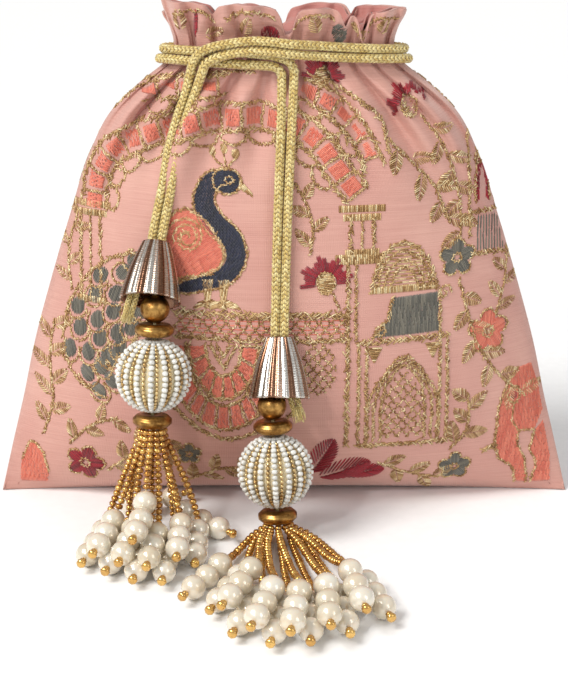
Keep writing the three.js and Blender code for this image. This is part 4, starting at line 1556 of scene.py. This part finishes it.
def feather_leaf(cloth, x, z, angle, length):
    """A crimson leaf of loose barbs."""
    turn = math.radians(angle)
    for share in np.linspace(0.05, 1, 13):
        for half in (-1, 1):
            a = turn + half * (0.85 - 0.4 * share)
            long = length * 0.42 * math.sin(math.pi * (0.25 + 0.7 * share))
            cx, cz = x + share * length * math.cos(turn), z + share * length * math.sin(turn)
            for shift in (0.0, 0.42):
                x0 = cx + (long / 2 + shift) * math.cos(a)
                z0 = cz + (long / 2) * math.sin(a) + shift
                cloth.sew("crimson", x0, z0, a, long, 0.66, 0.5, random_draw.uniform(0.2, 1))


def draw_pattern(cloth):
    """The whole drawing, from the arch at the neck to the leaves along the foot."""
    great_arch = (
        (-67, 108), (-65.5, 119), (-60, 128), (-50, 134), (-38, 138), (-24, 141),
        (-10, 142), (3, 139.5), (12, 133), (18, 125), (25, 116),
    )
    banded_arch(cloth, great_arch, 9.0)
    cloth.line(curve((-60, 142), (-50, 150), (-34, 155), (-10, 157)), width=1.5)
    cloth.line(curve((8, 156), (22, 150), (33, 141), (36, 130)), width=1.5)
    banded_arch(cloth, ((-49, 149), (-40, 151), (-30, 151.5), (-20, 152)), 6.5)
    banded_arch(cloth, ((6, 151), (14, 148), (21, 142), (27, 134), (31, 125)), 7.0)
    pillar(cloth, -68.5, 76, 106, 7.5)
    pillar(cloth, 27, 96, 108, 8.0)
    cloth.line([(22, 92), (22, 26)], width=1.6)
    cloth.line([(25, 92), (25, 66)], width=1.1)
    cloth.fill("zari", box_outline(17.5, 92, 35, 95.5), 90, pitch=0.62)
    peacock(cloth)
    cloth.line([(-38, 75.5), (23, 75)], width=2.2)
    cloth.line([(-38, 66.8), (23, 66)], width=1.6)
    lattice(cloth, box_outline(-38, 67.5, 22, 74.5), pitch=3.0)
    cloth.fill("coral", box_outline(-37, 67.8, 21, 74.2), 0, pitch=1.5, length=3.0, width=0.5, rise=0.16)
    scallop_medallion(cloth, -21, 64.5, 19.5, 31.5)
    cloth.line(curve((-43, 62), (-42, 48), (-34, 36), (-20, 29), (-8, 33), (4, 40)), width=1.5)
    lattice(cloth, ellipse(12, 56, 6, 9, 0, 360), pitch=2.6)
    fan_flower(cloth, 14.5, 86, 8.8, 95)
    cloth.line(curve((17, 82), (19, 77)), width=0.9)
    sprig(cloth, ((9, 96), (10, 104), (8, 112), (4, 120)), 5, 7.0, 3.0)
    pavilion(cloth)
    fan_flower(cloth, 43, 145, 8.4, 118)
    fan_flower(cloth, 13, 155, 7.0, 80)
    sprig(cloth, ((47, 141), (55, 131), (60, 118), (62, 106), (62, 98)), 8, 8.0, 3.6)
    sprig(cloth, ((36, 134), (44, 126), (52, 117), (58, 104)), 6, 8.2, 3.8, -1)
    flower(cloth, 61, 91.5, 6.6, 5, "grey_green")
    sprig(cloth, ((62, 84), (65, 72), (70, 58), (79, 46), (88, 38)), 9, 8.0, 3.8)
    flower(cloth, 73, 64, 7.6, 5, "coral", 2.0)
    sprig(cloth, ((76, 69), (79, 80), (80, 90)), 5, 7.0, 3.0, -1)
    for x, z, size, start in ((56.5, 80, 2.6, 0), (69, 124, 2.4, 90)):
        cloth.line(spiral(x, z, size, 1.2, start), width=1.0)
    tower(cloth)
    walking_beast(cloth)
    sprig(cloth, ((60, 22), (66, 30), (66, 42)), 5, 8.0, 3.8)
    for x, z, angle, length in ((9, 13, 62, 17), (12, 11, 22, 19), (6, 11, 170, 15), (20, 13, 5, 15)):
        feather_leaf(cloth, x, z, angle, length)
    flower(cloth, -72.5, 14.5, 7.2, 5, "crimson", 1.7, 72)
    flower(cloth, 62, 14, 6.0, 5, "grey_green", 1.4)
    bud = curve((-98, 4), (-97, 13), (-93, 20), (-89, 17), (-87, 9), (-88, 4))
    cloth.fill("coral", bud, 65, length=4.0)
    cloth.line(curve((-97, 13), (-93, 20), (-89, 17), (-87, 9)), width=1.0)
    sprig(cloth, ((-88, 24), (-84, 38), (-85, 52), (-83, 66)), 8, 8.5, 3.6)
    sprig(cloth, ((-64, 12), (-55, 20), (-46, 26), (-40, 20)), 7, 8.0, 3.4, -1)
    sprig(cloth, ((-78, 22), (-70, 30), (-60, 34)), 4, 7.5, 3.2)
    sprig(cloth, ((-36, 8), (-24, 15), (-10, 17)), 6, 8.0, 3.4)
    sprig(cloth, ((-76, 78), (-77, 92), (-73, 106)), 5, 6.5, 2.8)
    flower(cloth, -34, 22, 4.4, 5, "grey_green", 1.1)
    sprig(cloth, ((34, 18), (46, 12), (56, 9)), 5, 8.5, 3.8)
    frill_leaves = (
        (-35, 169, 100), (-14, 168, 60), (-27, 168, 20), (11, 169, 110), (33, 168, 70), (27, 169, 120),
    )
    for x, z, angle in frill_leaves:
        leaf(cloth, x, z, angle, 6.5, 3.4)
    for path, width in (
        (((-37, 173.5), (-30, 175.6), (-24, 174.2)), 1.3),
        (((-19, 173.4), (-11, 175.8), (-3, 174.6)), 1.5),
        (((3, 173.6), (9, 175.6), (16, 174.6)), 1.3),
        (((27, 173.0), (33, 175.4), (38, 173.6)), 1.3),
    ):
        cloth.line(curve(*path), width=width)
    petal = curve((-31.5, 168), (-32.2, 172), (-31, 176), (-29.4, 174), (-29, 170), (-30, 167.4))
    cloth.fill("crimson", petal, 15)
    cloth.fill("crimson", ellipse(-4.6, 168.6, 3.0, 3.0, 0, 360), 70)
    cloth.fill("grey_green", ellipse(18.6, 169.6, 2.6, 3.6, 0, 360), 50)


FLOSSES = {"zari": ZARI, "coral": CORAL, "grey_green": GREY_GREEN, "crimson": CRIMSON, "navy": NAVY}
for face, side_of in (("front", -1), ("back", 1)):
    worked = Embroidery(side_of)
    draw_pattern(worked)
    for stitched in worked.piece(f"{face}_embroidery", FLOSSES):
        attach(stitched, "bag")


# ---------------------------------------------------------------- floor and light

MIDDLE = (0, -0.02, 0.08)
FLOOR_LEVEL = -0.0003
FLOOR_REACH = 6.0


def floor():
    turns = ((-1, -1), (1, -1), (1, 1), (-1, 1))
    corners = [(x * FLOOR_REACH, y * FLOOR_REACH, FLOOR_LEVEL) for x, y in turns]
    sheet = add_piece("floor", corners, [(0, 1, 2, 3)], None)
    white = Finish("floor_paper", (0.93, 0.93, 0.93), 0.75)
    grain = white.noise(white.coordinates(), 220.0)
    white.colour(white.ramp(grain, (0.3, (0.92, 0.92, 0.92)), (0.7, (0.95, 0.95, 0.95))))
    sheet.data.materials.append(white.material)


def lamp(name, kind, place, power, colour=WHITE, **settings):
    """A light aimed at the middle of the bag."""
    data = bpy.data.lights.new(name, kind)
    data.energy = power
    data.color = colour
    for key, value in settings.items():
        setattr(data, key, value)
    light = bpy.data.objects.new(name, data)
    light.location = place
    light.rotation_euler = (Vector(MIDDLE) - Vector(place)).to_track_quat("-Z", "Y").to_euler()
    scene.collection.objects.link(light)


def studio():
    """A soft key from the left, a cool glint from the right, a small bright lamp that gives
    the pearls their highlights, and a white surround."""
    cool = (0.97, 0.985, 1.0)
    lamp("key", "SUN", (-0.6, -0.42, 0.9), 2.2, (1.0, 0.985, 0.96), angle=math.radians(24))
    lamp("glint", "AREA", (0.75, -0.85, 0.55), 1.6, cool, shape="RECTANGLE", size=0.35, size_y=0.6)
    lamp("sparkle", "AREA", (-0.42, -0.78, 0.62), 1.9, shape="RECTANGLE", size=0.07, size_y=0.07)
    world = bpy.data.worlds.new("studio")
    world.use_nodes = True
    background = world.node_tree.nodes["Background"]
    background.inputs["Color"].default_value = (*WHITE, 1)
    background.inputs["Strength"].default_value = 0.58
    scene.world = world
    scene.view_settings.view_transform = "Standard"


floor()
studio()
